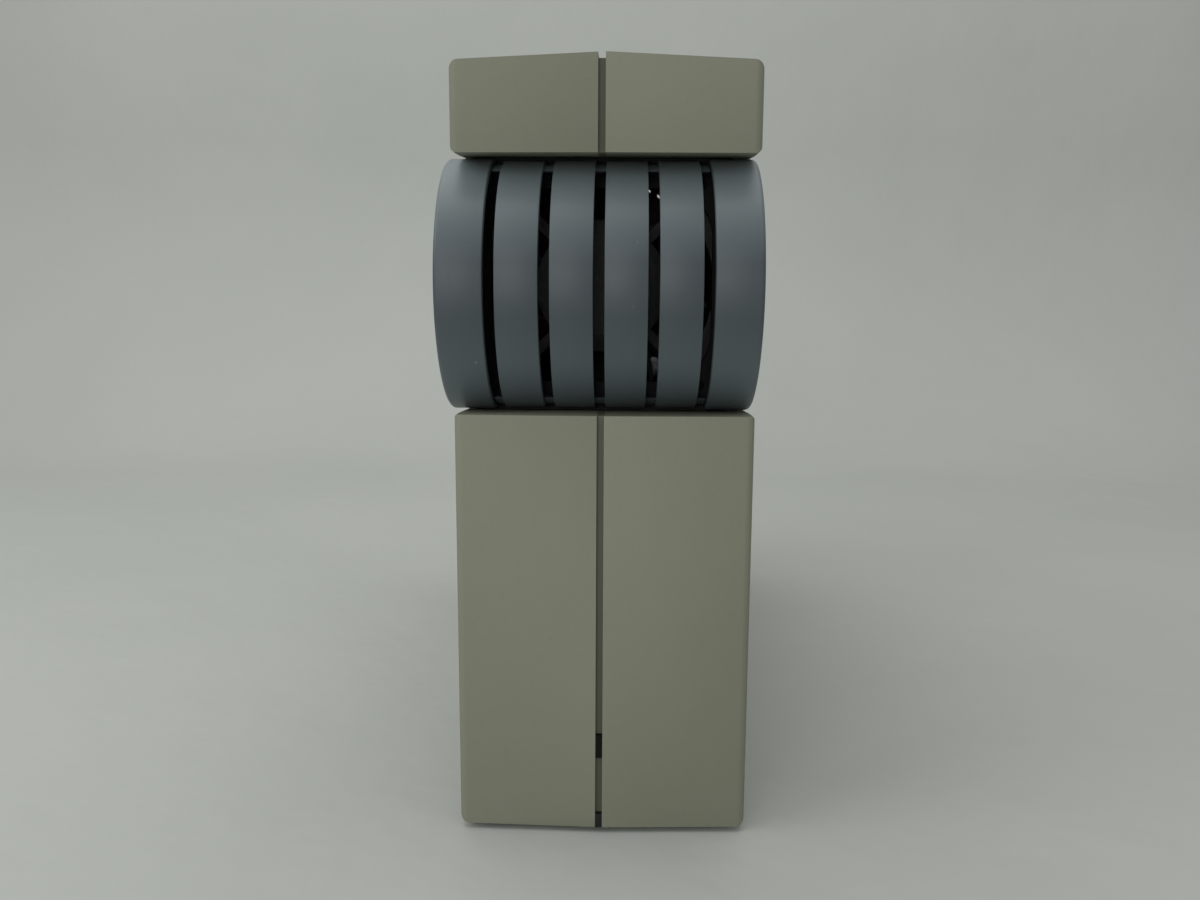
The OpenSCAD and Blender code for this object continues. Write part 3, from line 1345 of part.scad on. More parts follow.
module fan_lead() color([0.6, 0.1, 0.1]) for (i = [-1, 1]) {
    a = [-fan_hole_pitch / 4 + i * 1.5 * lead_r, fan_back_y + seat_gap + lead_r,
        band_z - fan_throat_r - lead_r];
    b = [-psu_w / 3.4 + i * 2 * lead_r, psu_y + fin_t - seat_gap, part_z + terminal_h / 2];
    tube(swing(a, b, [0, psu_l / 40, psu_l / 10], [0, psu_l / 20, 0]), lead_r * 0.8);
}
module light_lead() color([0.15, 0.15, 0.16]) {
    a = [lamp_x + light_board_w / 4, light_board_y + board_t + seat_gap, lamp_z];
    b = [board_x + board_t + chip_t / 2 + seat_gap / 2, drive_y + board_inset - seat_gap, lamp_z];
    bend = [0, (b[1] - a[1]) / 2, 0];
    tube(swing(a, b, bend, bend), light_lead_r);
}

left_shell();
right_shell();
louvre_insert();
left_cheek();
right_cheek();
light_pipe();
light_board();
light_lamp();
light_lead();
fan_frame();
fan_motor();
fan_rotor();
fan_screws();
fan_lead();
chassis();
chassis_screws();
drive_base();
drive_gasket();
drive_cover();
drive_screws();
drive_board();
drive_header();
drive_power_socket();
spindle_hub();
platters();
platter_spacers();
actuator_arm();
actuator_pivot();
magnet_yokes();
psu_board();
psu_standoffs();
psu_transformer();
psu_choke();
psu_capacitors();
psu_heat_sinks();
psu_terminals();
port_ribbon();
drive_power_lead();
rear_panel();
panel_screws();
port_shells();
port_inserts();
bail_a_upper();
bail_a_lower();
bail_b_upper();
bail_b_lower();
power_inlet();
inlet_blades();
power_switch();
power_rocker();
selector_body();
selector_wheel();
selector_plus_button();
selector_minus_button();
termination_switch();
termination_slider();
feet();
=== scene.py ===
"""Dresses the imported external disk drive: finishes, detailed pieces, plain studio and camera."""

import json
import logging
import math
from dataclasses import dataclass
from enum import Enum
from typing import Callable, Sequence

import bmesh
import bpy
from mathutils import Matrix, Vector


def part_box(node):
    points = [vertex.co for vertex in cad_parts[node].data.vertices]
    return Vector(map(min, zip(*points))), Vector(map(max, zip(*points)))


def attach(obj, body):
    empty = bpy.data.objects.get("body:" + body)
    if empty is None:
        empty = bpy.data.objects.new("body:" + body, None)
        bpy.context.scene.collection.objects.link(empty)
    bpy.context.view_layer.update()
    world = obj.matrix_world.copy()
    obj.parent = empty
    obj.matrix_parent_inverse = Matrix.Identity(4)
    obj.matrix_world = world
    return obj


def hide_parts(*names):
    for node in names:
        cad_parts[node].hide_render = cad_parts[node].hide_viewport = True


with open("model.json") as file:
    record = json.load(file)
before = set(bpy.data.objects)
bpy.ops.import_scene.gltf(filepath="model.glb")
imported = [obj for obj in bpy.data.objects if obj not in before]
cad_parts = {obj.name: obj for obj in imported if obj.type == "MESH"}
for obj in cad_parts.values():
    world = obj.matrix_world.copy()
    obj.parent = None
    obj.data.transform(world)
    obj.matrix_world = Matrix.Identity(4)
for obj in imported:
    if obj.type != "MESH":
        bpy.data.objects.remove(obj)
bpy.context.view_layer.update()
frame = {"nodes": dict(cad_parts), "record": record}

MM = 0.001
LOG = logging.getLogger("disk_drive")
Colour = tuple[float, float, float]


def tint(red: float, green: float, blue: float) -> tuple[float, float, float, float]:
    """Turns a screen colour into the linear colour of a shader socket.

    Args:
        red: Red from 0 to 255.
        green: Green from 0 to 255.
        blue: Blue from 0 to 255.

    Returns:
        Linear red, green and blue, and a full alpha.
    """
    def linear(value: float) -> float:
        """Undoes the screen's curve for one channel."""
        share = value / 255.0
        return share / 12.92 if share <= 0.04045 else ((share + 0.055) / 1.055) ** 2.4

    return (linear(red), linear(green), linear(blue), 1.0)


# Shader building


class Value:
    """A shader socket that carries a number, with the operators that the finishes use."""

    def __init__(self, shop: "ShaderShop", socket: bpy.types.NodeSocket) -> None:
        """Wraps one socket.

        Args:
            shop: The shop whose tree holds the socket.
            socket: The output socket.
        """
        self.shop = shop
        self.socket = socket

    def _maths(self, operation: str, *others: object) -> "Value":
        """Adds one Math node on this value and others."""
        return self.shop.maths(operation, self, *others)

    def __add__(self, other: object) -> "Value":
        """Adds."""
        return self._maths("ADD", other)

    __radd__ = __add__

    def __mul__(self, other: object) -> "Value":
        """Multiplies."""
        return self._maths("MULTIPLY", other)

    __rmul__ = __mul__

    def __sub__(self, other: object) -> "Value":
        """Subtracts another value from this one."""
        return self._maths("SUBTRACT", other)

    def __rsub__(self, other: object) -> "Value":
        """Subtracts this value from a number."""
        return self.shop.maths("SUBTRACT", other, self)

    def above(self, edge: float, soft: float) -> "Value":
        """Gives 0 below an edge and 1 above it, over a soft width."""
        return ((self - edge) * (1.0 / soft) + 0.5).limited()

    def limited(self) -> "Value":
        """Keeps the value between 0 and 1."""
        return self._maths("MAXIMUM", 0.0)._maths("MINIMUM", 1.0)

    def size(self) -> "Value":
        """Takes the sign away."""
        return self._maths("ABSOLUTE")


class ShaderShop:
    """Builds one material's node tree."""

    def __init__(self, name: str) -> None:
        """Starts a material with its surface shader and object coordinates.

        Args:
            name: The material's name.
        """
        self.material = bpy.data.materials.new(name)
        self.material.use_nodes = True
        self.tree = self.material.node_tree
        self.tree.nodes.clear()
        self.surface = self.tree.nodes.new("ShaderNodeBsdfPrincipled")
        output = self.tree.nodes.new("ShaderNodeOutputMaterial")
        self.tree.links.new(self.surface.outputs["BSDF"], output.inputs["Surface"])
        self.place = self.tree.nodes.new("ShaderNodeTexCoord").outputs["Object"]

    def feed(self, socket: bpy.types.NodeSocket, value: object) -> None:
        """Sets a socket to a constant or links a value to it.

        Args:
            socket: The input socket.
            value: The constant, value or output socket.
        """
        if isinstance(value, Value):
            value = value.socket
        if isinstance(value, bpy.types.NodeSocket):
            self.tree.links.new(value, socket)
        else:
            socket.default_value = value

    def add(self, kind: str, inputs: dict, out: object = 0,
            **settings: object) -> bpy.types.NodeSocket:
        """Adds any node, its settings first and its sockets after.

        Args:
            kind: The node's type.
            inputs: Socket name or number to constant, value or socket.
            out: The name or number of the socket to return.
            **settings: Properties of the node.

        Returns:
            The chosen output socket.
        """
        node = self.tree.nodes.new(kind)
        for key, value in settings.items():
            setattr(node, key, value)
        for key, value in inputs.items():
            self.feed(node.inputs[key], value)
        return node.outputs[out]

    def maths(self, operation: str, *values: object) -> Value:
        """Adds a Math node."""
        return Value(self, self.add("ShaderNodeMath", dict(enumerate(values)), operation=operation))

    def noise(self, scale: float, detail: float = 3.0, stretch: Sequence[float] = (1.0, 1.0, 1.0),
              rough: float = 0.5) -> Value:
        """Adds noise on object coordinates.

        Args:
            scale: Features per metre.
            detail: Octaves of detail.
            stretch: Scale of each axis, to draw the pattern out.
            rough: How strong the finer octaves are.

        Returns:
            The noise as a value from 0 to 1.
        """
        where = self.place
        if tuple(stretch) != (1.0, 1.0, 1.0):
            where = self.add("ShaderNodeMapping", {"Vector": self.place, "Scale": tuple(stretch)})
        return Value(self, self.add("ShaderNodeTexNoise", {
            "Vector": where, "Scale": scale, "Detail": detail, "Roughness": rough}))

    def cells(self, scale: float, out: str = "Distance") -> Value:
        """Adds a Voronoi pattern on object coordinates."""
        return Value(self, self.add("ShaderNodeTexVoronoi", {"Vector": self.place, "Scale": scale},
                                    out=out))

    def bands(self, scale: float, axis: str, profile: str = "SIN") -> Value:
        """Adds straight bands across one axis."""
        return Value(self, self.add("ShaderNodeTexWave", {"Vector": self.place, "Scale": scale},
                                    out="Fac", bands_direction=axis, wave_profile=profile))

    def along(self, axis: str) -> Value:
        """Gives one object coordinate in metres."""
        split = self.add("ShaderNodeSeparateXYZ", {"Vector": self.place}, out=axis)
        return Value(self, split)

    def blend(self, factor: object, low: object, high: object) -> bpy.types.NodeSocket:
        """Mixes two colours.

        Args:
            factor: Number or value, 0 for the first colour.
            low: The first colour.
            high: The second colour.

        Returns:
            The mixed colour's socket.
        """
        return self.add("ShaderNodeMix", {0: factor, 6: low, 7: high}, out=2, data_type="RGBA")

    def bump(self, height: Value, depth: float, strength: float) -> bpy.types.NodeSocket:
        """Adds a bump.

        Args:
            height: Pattern from 0 to 1.
            depth: Height of the pattern in metres.
            strength: Strength of the bump.

        Returns:
            The normal's socket.
        """
        return self.add("ShaderNodeBump", {"Height": height, "Distance": depth,
                                           "Strength": strength}, out="Normal")

    def dress(self, **sockets: object) -> bpy.types.Material:
        """Feeds the surface shader and hands the material over.

        Args:
            **sockets: Constant, value or socket by socket name, with underscores for spaces.

        Returns:
            The finished material.
        """
        for key, value in sockets.items():
            self.feed(self.surface.inputs[key.replace("_", " ")], value)
        return self.material


# Finishes


@dataclass(frozen=True)
class MouldedCase:
    """Putty-coloured moulded case, with painted shade in its channel and recess, its places in
    metres.
    """

    colour: Colour = (129, 131, 115)
    shade: Colour = (120, 122, 105)
    grime: Colour = (104, 102, 86)
    # Near black of the painted shadow at the channel's foot and in the recess
    soot: Colour = (16, 17, 16)
    # Darker colour of the painted shade in the front channel
    side_dirt: Colour = (84, 85, 70)
    channel_x: tuple[float, float] = (-0.00042, 0.0013)
    front_y: float = -0.1188
    front_soft: float = 0.0002
    inside_y: float = -0.1
    foot_z: float = 0.0051
    channel_soft: float = 0.00008
    recess_x: float = 0.0325
    recess_y: tuple[float, float] = (-0.0955, -0.06)
    recess_z: tuple[float, float] = (0.1022, 0.166)
    recess_soft: float = 0.0012

    def make(self) -> bpy.types.Material:
        """Builds the material.

        Returns:
            The finished material.
        """
        shop = ShaderShop("case_putty")
        cloud = shop.noise(9.0, detail=4.0)
        fleck = shop.noise(900.0, detail=2.0)
        speck = shop.noise(210.0, detail=2.0, rough=0.7).above(0.76, soft=0.02)
        grain = shop.noise(2600.0, detail=2.0) * 0.65 + shop.noise(900.0, detail=2.0) * 0.35
        smear = shop.noise(28.0, detail=5.0, stretch=(1.0, 1.0, 0.25), rough=0.65)
        smear = smear.above(0.6, soft=0.22)
        body = shop.blend(cloud.above(0.5, soft=0.5), tint(*self.colour), tint(*self.shade))
        body = shop.blend(fleck.above(0.62, soft=0.12) * 0.07, body, tint(*self.grime))
        body = shop.blend(speck * 0.16, body, tint(*self.grime))
        # Painted shade: the front channel's floor and walls are darkened
        body = shop.blend(self.channel(shop), body, tint(*self.side_dirt))
        # Painted shadow: the gap at the channel's foot is painted near black
        body = shop.blend(self.foot_gap(shop), body, tint(*self.soot))
        # Painted shade: the recess walls behind the louvres are painted near black
        body = shop.blend(self.recess(shop), body, tint(*self.soot))
        return shop.dress(Base_Color=body, Roughness=0.58 + fleck * 0.06 - smear * 0.07,
                          Normal=shop.bump(grain, depth=0.00007, strength=0.5),
                          Specular_IOR_Level=0.42)

    def column(self, shop: ShaderShop) -> Value:
        """Marks the upright column of the shell's front that lies over the channel.

        Args:
            shop: The shop that builds the material.

        Returns:
            1 inside the column and 0 outside it.
        """
        left = shop.along("X").above(self.channel_x[0], self.channel_soft)
        right = 1.0 - shop.along("X").above(self.channel_x[1], self.channel_soft)
        near = 1.0 - shop.along("Y").above(self.inside_y, self.channel_soft)
        return left * right * near

    def channel(self, shop: ShaderShop) -> Value:
        """Marks the floor and the walls of the front channel, which get painted shade."""
        return self.column(shop) * shop.along("Y").above(self.front_y, self.front_soft)

    def foot_gap(self, shop: ShaderShop) -> Value:
        """Marks the gap at the channel's foot, which gets a painted shadow."""
        return self.column(shop) * (1.0 - shop.along("Z").above(self.foot_z, self.channel_soft))

    def recess(self, shop: ShaderShop) -> Value:
        """Marks the recess behind the louvres, whose walls get painted shade.

        Args:
            shop: The shop that builds the material.

        Returns:
            1 inside the recess and 0 outside it.
        """
        soft = self.recess_soft
        deep = shop.along("Y").above(self.recess_y[0], soft)
        near = 1.0 - shop.along("Y").above(self.recess_y[1], soft)
        high = shop.along("Z").above(self.recess_z[0], soft)
        low = 1.0 - shop.along("Z").above(self.recess_z[1], soft)
        inner = 1.0 - shop.along("X").size().above(self.recess_x, soft)
        return deep * near * high * low * inner


@dataclass(frozen=True)
class MouldedTrim:
    """Blue-grey trim: satin skin, flow marks, scuffs and painted light on its paler top and bottom,
    in metres.
    """

    colour: Colour = (68, 77, 82)
    shade: Colour = (62, 71, 76)
    scuff: Colour = (150, 158, 163)
    # Pale colour of the painted light on the top and bottom
    dust: Colour = (137, 149, 152)
    middle_z: float = 0.1341
    front_y: float = -0.094
    front_soft: float = 0.016
    upper_rise: float = 0.0205
    upper_dust: float = 0.95
    lower_drop: float = 0.022
    lower_dust: float = 0.42
    dust_soft: float = 0.03

    def make(self) -> bpy.types.Material:
        """Builds the material.

        Returns:
            The finished material.
        """
        shop = ShaderShop("trim_blue_grey")
        cloud = shop.noise(14.0, detail=4.0)
        flow = shop.noise(60.0, detail=3.0, stretch=(1.0, 1.0, 0.12))
        scuff = shop.noise(520.0, detail=4.0, stretch=(1.0, 1.0, 0.3), rough=0.7)
        scuff = scuff.above(0.70, soft=0.03)
        patch = shop.noise(22.0, detail=2.0).above(0.6, soft=0.08)
        speck = shop.noise(260.0, detail=2.0, rough=0.7).above(0.775, soft=0.02)
        grain = shop.noise(2200.0, detail=2.0)
        body = shop.blend(cloud.above(0.5, soft=0.5), tint(*self.colour), tint(*self.shade))
        body = shop.blend(flow.above(0.55, soft=0.3) * 0.18, body, tint(*self.shade))
        # Painted light: the top and bottom of the band's front are paler
        height = shop.along("Z") - self.middle_z
        front = 1.0 - shop.along("Y").above(self.front_y, self.front_soft)
        upper = height.above(self.upper_rise, self.dust_soft) * self.upper_dust
        lower = (1.0 - height.above(-self.lower_drop, self.dust_soft)) * self.lower_dust
        body = shop.blend((upper + lower) * front, body, tint(*self.dust))
        body = shop.blend((scuff * patch) * 0.5, body, tint(*self.scuff))
        body = shop.blend(speck * 0.5, body, tint(*self.scuff))
        return shop.dress(Base_Color=body, Roughness=0.42 + cloud * 0.08 + scuff * 0.1,
                          Normal=shop.bump(grain, depth=0.00004, strength=0.35),
                          Specular_IOR_Level=0.5)


@dataclass(frozen=True)
class Plastic:
    """Plain moulded plastic of one colour: fine grain, faint clouding and a little dust."""

    name: str
    colour: Colour
    rough: float = 0.45
    grain: float = 0.00003
    dust: float = 0.06
    dust_colour: Colour = (150, 148, 138)
    shade: float = 0.86

    def make(self) -> bpy.types.Material:
        """Builds the material.

        Returns:
            The finished material.
        """
        shop = ShaderShop(self.name)
        cloud = shop.noise(120.0, detail=4.0)
        fine = shop.noise(3000.0, detail=2.0)
        dust = shop.noise(420.0, detail=5.0, rough=0.7).above(0.58, soft=0.12) * self.dust
        body = shop.blend(dust, tint(*self.colour), tint(*self.dust_colour))
        dark = tuple(channel * self.shade for channel in self.colour)
        body = shop.blend(cloud.above(0.55, soft=0.3) * 0.5, body, tint(*dark))
        return shop.dress(Base_Color=body, Roughness=self.rough + cloud * 0.1,
                          Normal=shop.bump(fine, depth=self.grain, strength=0.4))


@dataclass(frozen=True)
class Metal:
    """Bare or plated metal, brushed along one axis or left as cast, rolled or turned."""

    name: str
    colour: Colour
    rough: float = 0.3
    stretch: tuple[float, float, float] = (1.0, 1.0, 1.0)
    scale: float = 900.0
    depth: float = 0.00002
    patches: float = 0.12
    shade: float = 0.72

    def make(self) -> bpy.types.Material:
        """Builds the material.

        Returns:
            The finished material.
        """
        shop = ShaderShop(self.name)
        cloud = shop.noise(70.0, detail=4.0)
        lines = shop.noise(self.scale, detail=3.0, stretch=self.stretch, rough=0.6)
        dull = tuple(channel * self.shade for channel in self.colour)
        body = shop.blend(cloud.above(0.5, soft=0.5) * 0.6, tint(*self.colour), tint(*dull))
        return shop.dress(Base_Color=body, Metallic=1.0,
                          Roughness=self.rough + (cloud - 0.5) * self.patches + (lines - 0.5) * 0.15,
                          Normal=shop.bump(lines, depth=self.depth, strength=0.5))


@dataclass(frozen=True)
class SpangledSheet:
    """Zinc-plated sheet steel with its faint crystal flowers."""

    colour: Colour = (176, 180, 182)
    flower: Colour = (138, 143, 148)

    def make(self) -> bpy.types.Material:
        """Builds the material.

        Returns:
            The finished material.
        """
        shop = ShaderShop("zinc_sheet")
        flowers = shop.cells(180.0, "Color")
        tone = Value(shop, shop.add("ShaderNodeRGBToBW", {"Color": flowers.socket}))
        lines = shop.noise(900.0, detail=3.0, stretch=(1.0, 0.06, 1.0))
        body = shop.blend(tone * 0.5, tint(*self.colour), tint(*self.flower))
        return shop.dress(Base_Color=body, Metallic=1.0, Roughness=0.34 + tone * 0.12,
                          Normal=shop.bump(lines, depth=0.00001, strength=0.4))


@dataclass(frozen=True)
class PaintedPanel:
    """Steel panel under fine-textured grey paint."""

    colour: Colour = (150, 151, 142)
    shade: Colour = (143, 144, 134)
    bare: Colour = (105, 106, 104)

    def make(self) -> bpy.types.Material:
        """Builds the material.

        Returns:
            The finished material.
        """
        shop = ShaderShop("panel_paint")
        peel = shop.noise(1500.0, detail=3.0, rough=0.6)
        cloud = shop.noise(30.0, detail=3.0)
        chip = shop.noise(330.0, detail=4.0, rough=0.75).above(0.79, soft=0.015)
        body = shop.blend(cloud.above(0.5, soft=0.6), tint(*self.colour), tint(*self.shade))
        body = shop.blend(chip, body, tint(*self.bare))
        return shop.dress(Base_Color=body, Roughness=0.46 + peel * 0.14,
                          Normal=shop.bump(peel, depth=0.00006, strength=0.5))


@dataclass(frozen=True)
class CircuitBoard:
    """Green solder mask over copper tracks on glass fibre."""

    axes: tuple[str, str] = ("Y", "Z")
    mask: Colour = (20, 74, 42)
    track: Colour = (46, 108, 60)

    def make(self) -> bpy.types.Material:
        """Builds the material.

        Returns:
            The finished material.
        """
        shop = ShaderShop("board_mask_" + "".join(self.axes).lower())
        grid = shop.cells(330.0).above(0.5, soft=0.1)
        runs = shop.bands(55.0, self.axes[0], "SAW").above(0.5, soft=0.1)
        zone = shop.noise(60.0, detail=0.0).above(0.5, soft=0.03)
        tracks = runs * zone + grid * (1.0 - zone)
        weave = shop.noise(2000.0, detail=1.0)
        body = shop.blend(tracks * 0.6, tint(*self.mask), tint(*self.track))
        return shop.dress(Base_Color=body, Roughness=0.3 + weave * 0.08, Coat_Weight=0.4,
                          Coat_Roughness=0.15, Normal=shop.bump(tracks, depth=0.00003, strength=0.6))


@dataclass(frozen=True)
class Rubber:
    """Matt black rubber with bloom."""

    name: str = "foot_rubber"
    colour: Colour = (34, 34, 33)
    bloom: Colour = (92, 92, 88)

    def make(self) -> bpy.types.Material:
        """Builds the material.

        Returns:
            The finished material.
        """
        shop = ShaderShop(self.name)
        bloom = shop.noise(300.0, detail=5.0, rough=0.7)
        body = shop.blend(bloom.above(0.6, soft=0.2) * 0.35, tint(*self.colour), tint(*self.bloom))
        return shop.dress(Base_Color=body, Roughness=0.8 + bloom * 0.1,
                          Normal=shop.bump(bloom, depth=0.00005, strength=0.5))


@dataclass(frozen=True)
class Winding:
    """Lacquered copper wire wound side by side across one axis."""

    name: str
    axis: str
    groove: Colour = (104, 50, 24)
    copper: Colour = (196, 110, 62)
    lacquer: Colour = (92, 44, 20)

    def make(self) -> bpy.types.Material:
        """Builds the material.

        Returns:
            The finished material.
        """
        shop = ShaderShop(self.name)
        wires = shop.bands(320.0, self.axis)
        cloud = shop.noise(150.0, detail=3.0)
        body = shop.blend(wires, tint(*self.groove), tint(*self.copper))
        body = shop.blend(cloud.above(0.6, soft=0.2) * 0.3, body, tint(*self.lacquer))
        return shop.dress(Base_Color=body, Metallic=0.8, Roughness=0.28 + cloud * 0.1,
                          Normal=shop.bump(wires, depth=0.00025, strength=0.8))


@dataclass(frozen=True)
class Ribbon:
    """Ribbed grey ribbon cable with one marked edge."""

    low_z: float
    pitch: float = 1.27 * MM
    marked: float = 1.3
    wave: float = 20.0
    stripe: Colour = (150, 40, 36)
    colour: Colour = (142, 144, 146)
    dirt: Colour = (110, 111, 112)

    def make(self) -> bpy.types.Material:
        """Builds the material.

        Returns:
            The finished material.
        """
        shop = ShaderShop("ribbon_rib")
        ribs = shop.bands(1.0 / (self.pitch * self.wave), "Z")
        dirt = shop.noise(200.0, detail=3.0)
        mark = shop.along("Z").above(self.low_z + self.marked * self.pitch, 0.0002)
        body = shop.blend(mark, tint(*self.stripe), tint(*self.colour))
        body = shop.blend(dirt.above(0.6, soft=0.2) * 0.3, body, tint(*self.dirt))
        return shop.dress(Base_Color=body, Roughness=0.5 + dirt * 0.1,
                          Normal=shop.bump(ribs, depth=0.0004, strength=0.8))


@dataclass(frozen=True)
class SmokedLens:
    """Dark smoked light pipe, satin and a little dusty."""

    colour: Colour = (7, 9, 5)
    dust: Colour = (40, 42, 34)

    def make(self) -> bpy.types.Material:
        """Builds the material.

        Returns:
            The finished material.
        """
        shop = ShaderShop("lens_smoked")
        dust = shop.noise(700.0, detail=4.0, rough=0.7).above(0.66, soft=0.06)
        body = shop.blend(dust * 0.3, tint(*self.colour), tint(*self.dust))
        return shop.dress(Base_Color=body, Roughness=0.3 + dust * 0.3, Specular_IOR_Level=0.2)


@dataclass(frozen=True)
class TintedLamp:
    """Tinted lamp body of the front light, unlit."""

    colour: Colour = (46, 140, 58)
    haze: Colour = (88, 180, 96)

    def make(self) -> bpy.types.Material:
        """Builds the material.

        Returns:
            The finished material.
        """
        shop = ShaderShop("lamp_green")
        haze = shop.noise(900.0, detail=3.0)
        body = shop.blend(haze, tint(*self.colour), tint(*self.haze))
        return shop.dress(Base_Color=body, Roughness=0.18 + haze * 0.1)


@dataclass(frozen=True)
class Cloth:
    """Pale backdrop cloth."""

    colour: Colour = (190, 193, 188)
    shade: Colour = (179, 183, 178)

    def make(self) -> bpy.types.Material:
        """Builds the material.

        Returns:
            The finished material.
        """
        shop = ShaderShop("backdrop_cloth")
        fold = shop.noise(3.2, detail=4.0, rough=0.5)
        crease = shop.noise(7.0, detail=5.0, stretch=(1.0, 1.0, 0.5), rough=0.6)
        body = shop.blend(fold.above(0.5, soft=0.7), tint(*self.colour), tint(*self.shade))
        height = fold * 0.7 + crease * 0.3
        return shop.dress(Base_Color=body, Roughness=0.95, Specular_IOR_Level=0.1,
                          Normal=shop.bump(height, depth=0.03, strength=0.35))


# Modelling

# Metres within which points are one, and the turn below which two faces are one
MERGE = 0.000002
FLAT = math.radians(0.4)

# The turn that lays a primitive's own Z along Y, and how near a normal is to an axis it faces
ALONG_Y = (-math.pi / 2, 0.0, 0.0)
FACING = 0.9

# Angles in degrees between an edge's two faces, past which different pieces are rounded
SHARP = 40.0
BRISK = 50.0
SQUARE = 60.0


def brisk(middle: Vector, angle: float) -> bool:
    """Takes every edge whose faces meet at more than BRISK degrees."""
    return angle > BRISK


def square(middle: Vector, angle: float) -> bool:
    """Takes every edge whose faces meet at more than SQUARE degrees."""
    return angle > SQUARE


class Round(Enum):
    """Faces across a rounded edge."""

    BROKEN = 1
    FINE = 2
    SOFT = 3
    FULL = 4


class Crease(Enum):
    """Angle in degrees past which the edges of a piece stay sharp."""

    CUT = 30.0
    MOULDED = 32.0
    SMALL = 35.0
    LEAD = 40.0
    BENT = 50.0


class Bench:
    """Modelling steps that work on one piece at a time."""

    @staticmethod
    def clear() -> None:
        """Leaves edit mode and deselects everything."""
        if bpy.context.object and bpy.context.object.mode != "OBJECT":
            bpy.ops.object.mode_set(mode="OBJECT")
        bpy.ops.object.select_all(action="DESELECT")

    @staticmethod
    def pick(piece: bpy.types.Object) -> None:
        """Selects one object alone and makes it active.

        Args:
            piece: The object.
        """
        Bench.clear()
        piece.select_set(True)
        bpy.context.view_layer.objects.active = piece

    @staticmethod
    def settle(piece: bpy.types.Object) -> None:
        """Applies a piece's place so that its object sits at the origin."""
        Bench.pick(piece)
        bpy.ops.object.transform_apply(location=True, rotation=True, scale=True)

    @staticmethod
    def cast(node: str, name: str) -> bpy.types.Object:
        """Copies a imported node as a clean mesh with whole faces.

        Args:
            node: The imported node's name.
            name: The new piece's name.

        Returns:
            The copy, merged and with its flat faces whole.
        """
        source = frame["nodes"][node]
        piece = bpy.data.objects.new(name, source.data.copy())
        bpy.context.scene.collection.objects.link(piece)
        piece.data.materials.clear()
        Bench.pick(piece)
        if piece.data.has_custom_normals:
            bpy.ops.mesh.customdata_custom_splitnormals_clear()
        bpy.ops.object.mode_set(mode="EDIT")
        bpy.ops.mesh.select_all(action="SELECT")
        bpy.ops.mesh.remove_doubles(threshold=MERGE)
        bpy.ops.mesh.dissolve_limited(angle_limit=FLAT)
        bpy.ops.object.mode_set(mode="OBJECT")
        return piece

    @staticmethod
    def edges(piece: bpy.types.Object, wanted: Callable[[Vector, float], bool]) -> int:
        """Selects edges of a piece in edit mode by their middle and the angle of their faces.

        Args:
            piece: The piece, which is left in edit mode.
            wanted: Says whether an edge with this middle and angle in degrees is taken.

        Returns:
            The number of edges taken.
        """
        Bench.pick(piece)
        bpy.ops.object.mode_set(mode="EDIT")
        bpy.ops.mesh.select_mode(type="EDGE")
        bpy.ops.mesh.select_all(action="DESELECT")
        mesh = bmesh.from_edit_mesh(piece.data)
        count = 0
        for edge in mesh.edges:
            middle = (edge.verts[0].co + edge.verts[1].co) / 2
            angle = math.degrees(edge.calc_face_angle(0.0))
            if wanted(middle / MM, angle):
                edge.select_set(True)
                count += 1
        bmesh.update_edit_mesh(piece.data)
        return count

    @staticmethod
    def faces(piece: bpy.types.Object, wanted: Callable[[Vector, Vector], bool]) -> None:
        """Selects faces of a piece in edit mode by their middle and normal.

        Args:
            piece: The piece, which is left in edit mode.
            wanted: Says whether a face with this middle and normal is taken.
        """
        Bench.pick(piece)
        bpy.ops.object.mode_set(mode="EDIT")
        bpy.ops.mesh.select_mode(type="FACE")
        bpy.ops.mesh.select_all(action="DESELECT")
        mesh = bmesh.from_edit_mesh(piece.data)
        for face in mesh.faces:
            if wanted(face.calc_center_median() / MM, face.normal):
                face.select_set(True)
        bmesh.update_edit_mesh(piece.data)

    @staticmethod
    def soften(piece: bpy.types.Object, width: float, steps: Round,
               wanted: Callable[[Vector, float], bool]) -> None:
        """Rounds the chosen edges of a piece.

        Args:
            piece: The piece.
            width: Width of the round in millimetres.
            steps: Faces across the round.
            wanted: Says which edges are taken, as for edges.
        """
        count = Bench.edges(piece, wanted)
        if count:
            bpy.ops.mesh.bevel(offset=width * MM, offset_type="OFFSET", segments=steps.value,
                               profile=0.5, affect="EDGES", clamp_overlap=True)
        LOG.info("%s: %d edges rounded", piece.name, count)
        bpy.ops.object.mode_set(mode="OBJECT")

    @staticmethod
    def block(name: str, low: Sequence[float], high: Sequence[float]) -> bpy.types.Object:
        """Adds a block, all in millimetres.

        Args:
            name: The block's name.
            low: Its lowest corner.
            high: Its highest corner.

        Returns:
            The block, its place in its mesh.
        """
        Bench.clear()
        size = [h - l for l, h in zip(low, high)]
        middle = [(h + l) / 2 * MM for l, h in zip(low, high)]
        bpy.ops.mesh.primitive_cube_add(size=1.0, location=middle,
                                        scale=[s * MM for s in size])
        piece = bpy.context.object
        piece.name = name
        Bench.settle(piece)
        return piece

    @staticmethod
    def drum(name: str, middle: Sequence[float], radius: float, length: float,
             sides: int = 48) -> bpy.types.Object:
        """Adds a cylinder that lies along Y, all in millimetres.

        Args:
            name: The cylinder's name.
            middle: Its middle.
            radius: Its radius.
            length: Its length.
            sides: Faces round it.

        Returns:
            The cylinder, its place in its mesh.
        """
        Bench.clear()
        bpy.ops.mesh.primitive_cylinder_add(vertices=sides, radius=radius * MM, depth=length * MM,
                                            location=[v * MM for v in middle], rotation=ALONG_Y)
        piece = bpy.context.object
        piece.name = name
        Bench.settle(piece)
        return piece

    @staticmethod
    def join(name: str, parts: Sequence[bpy.types.Object]) -> bpy.types.Object:
        """Joins the parts of one piece.

        Args:
            name: The piece's name.
            parts: The parts.

        Returns:
            The joined piece.
        """
        Bench.clear()
        for part in parts:
            part.select_set(True)
        bpy.context.view_layer.objects.active = parts[0]
        if len(parts) > 1:
            bpy.ops.object.join()
        parts[0].name = name
        return parts[0]

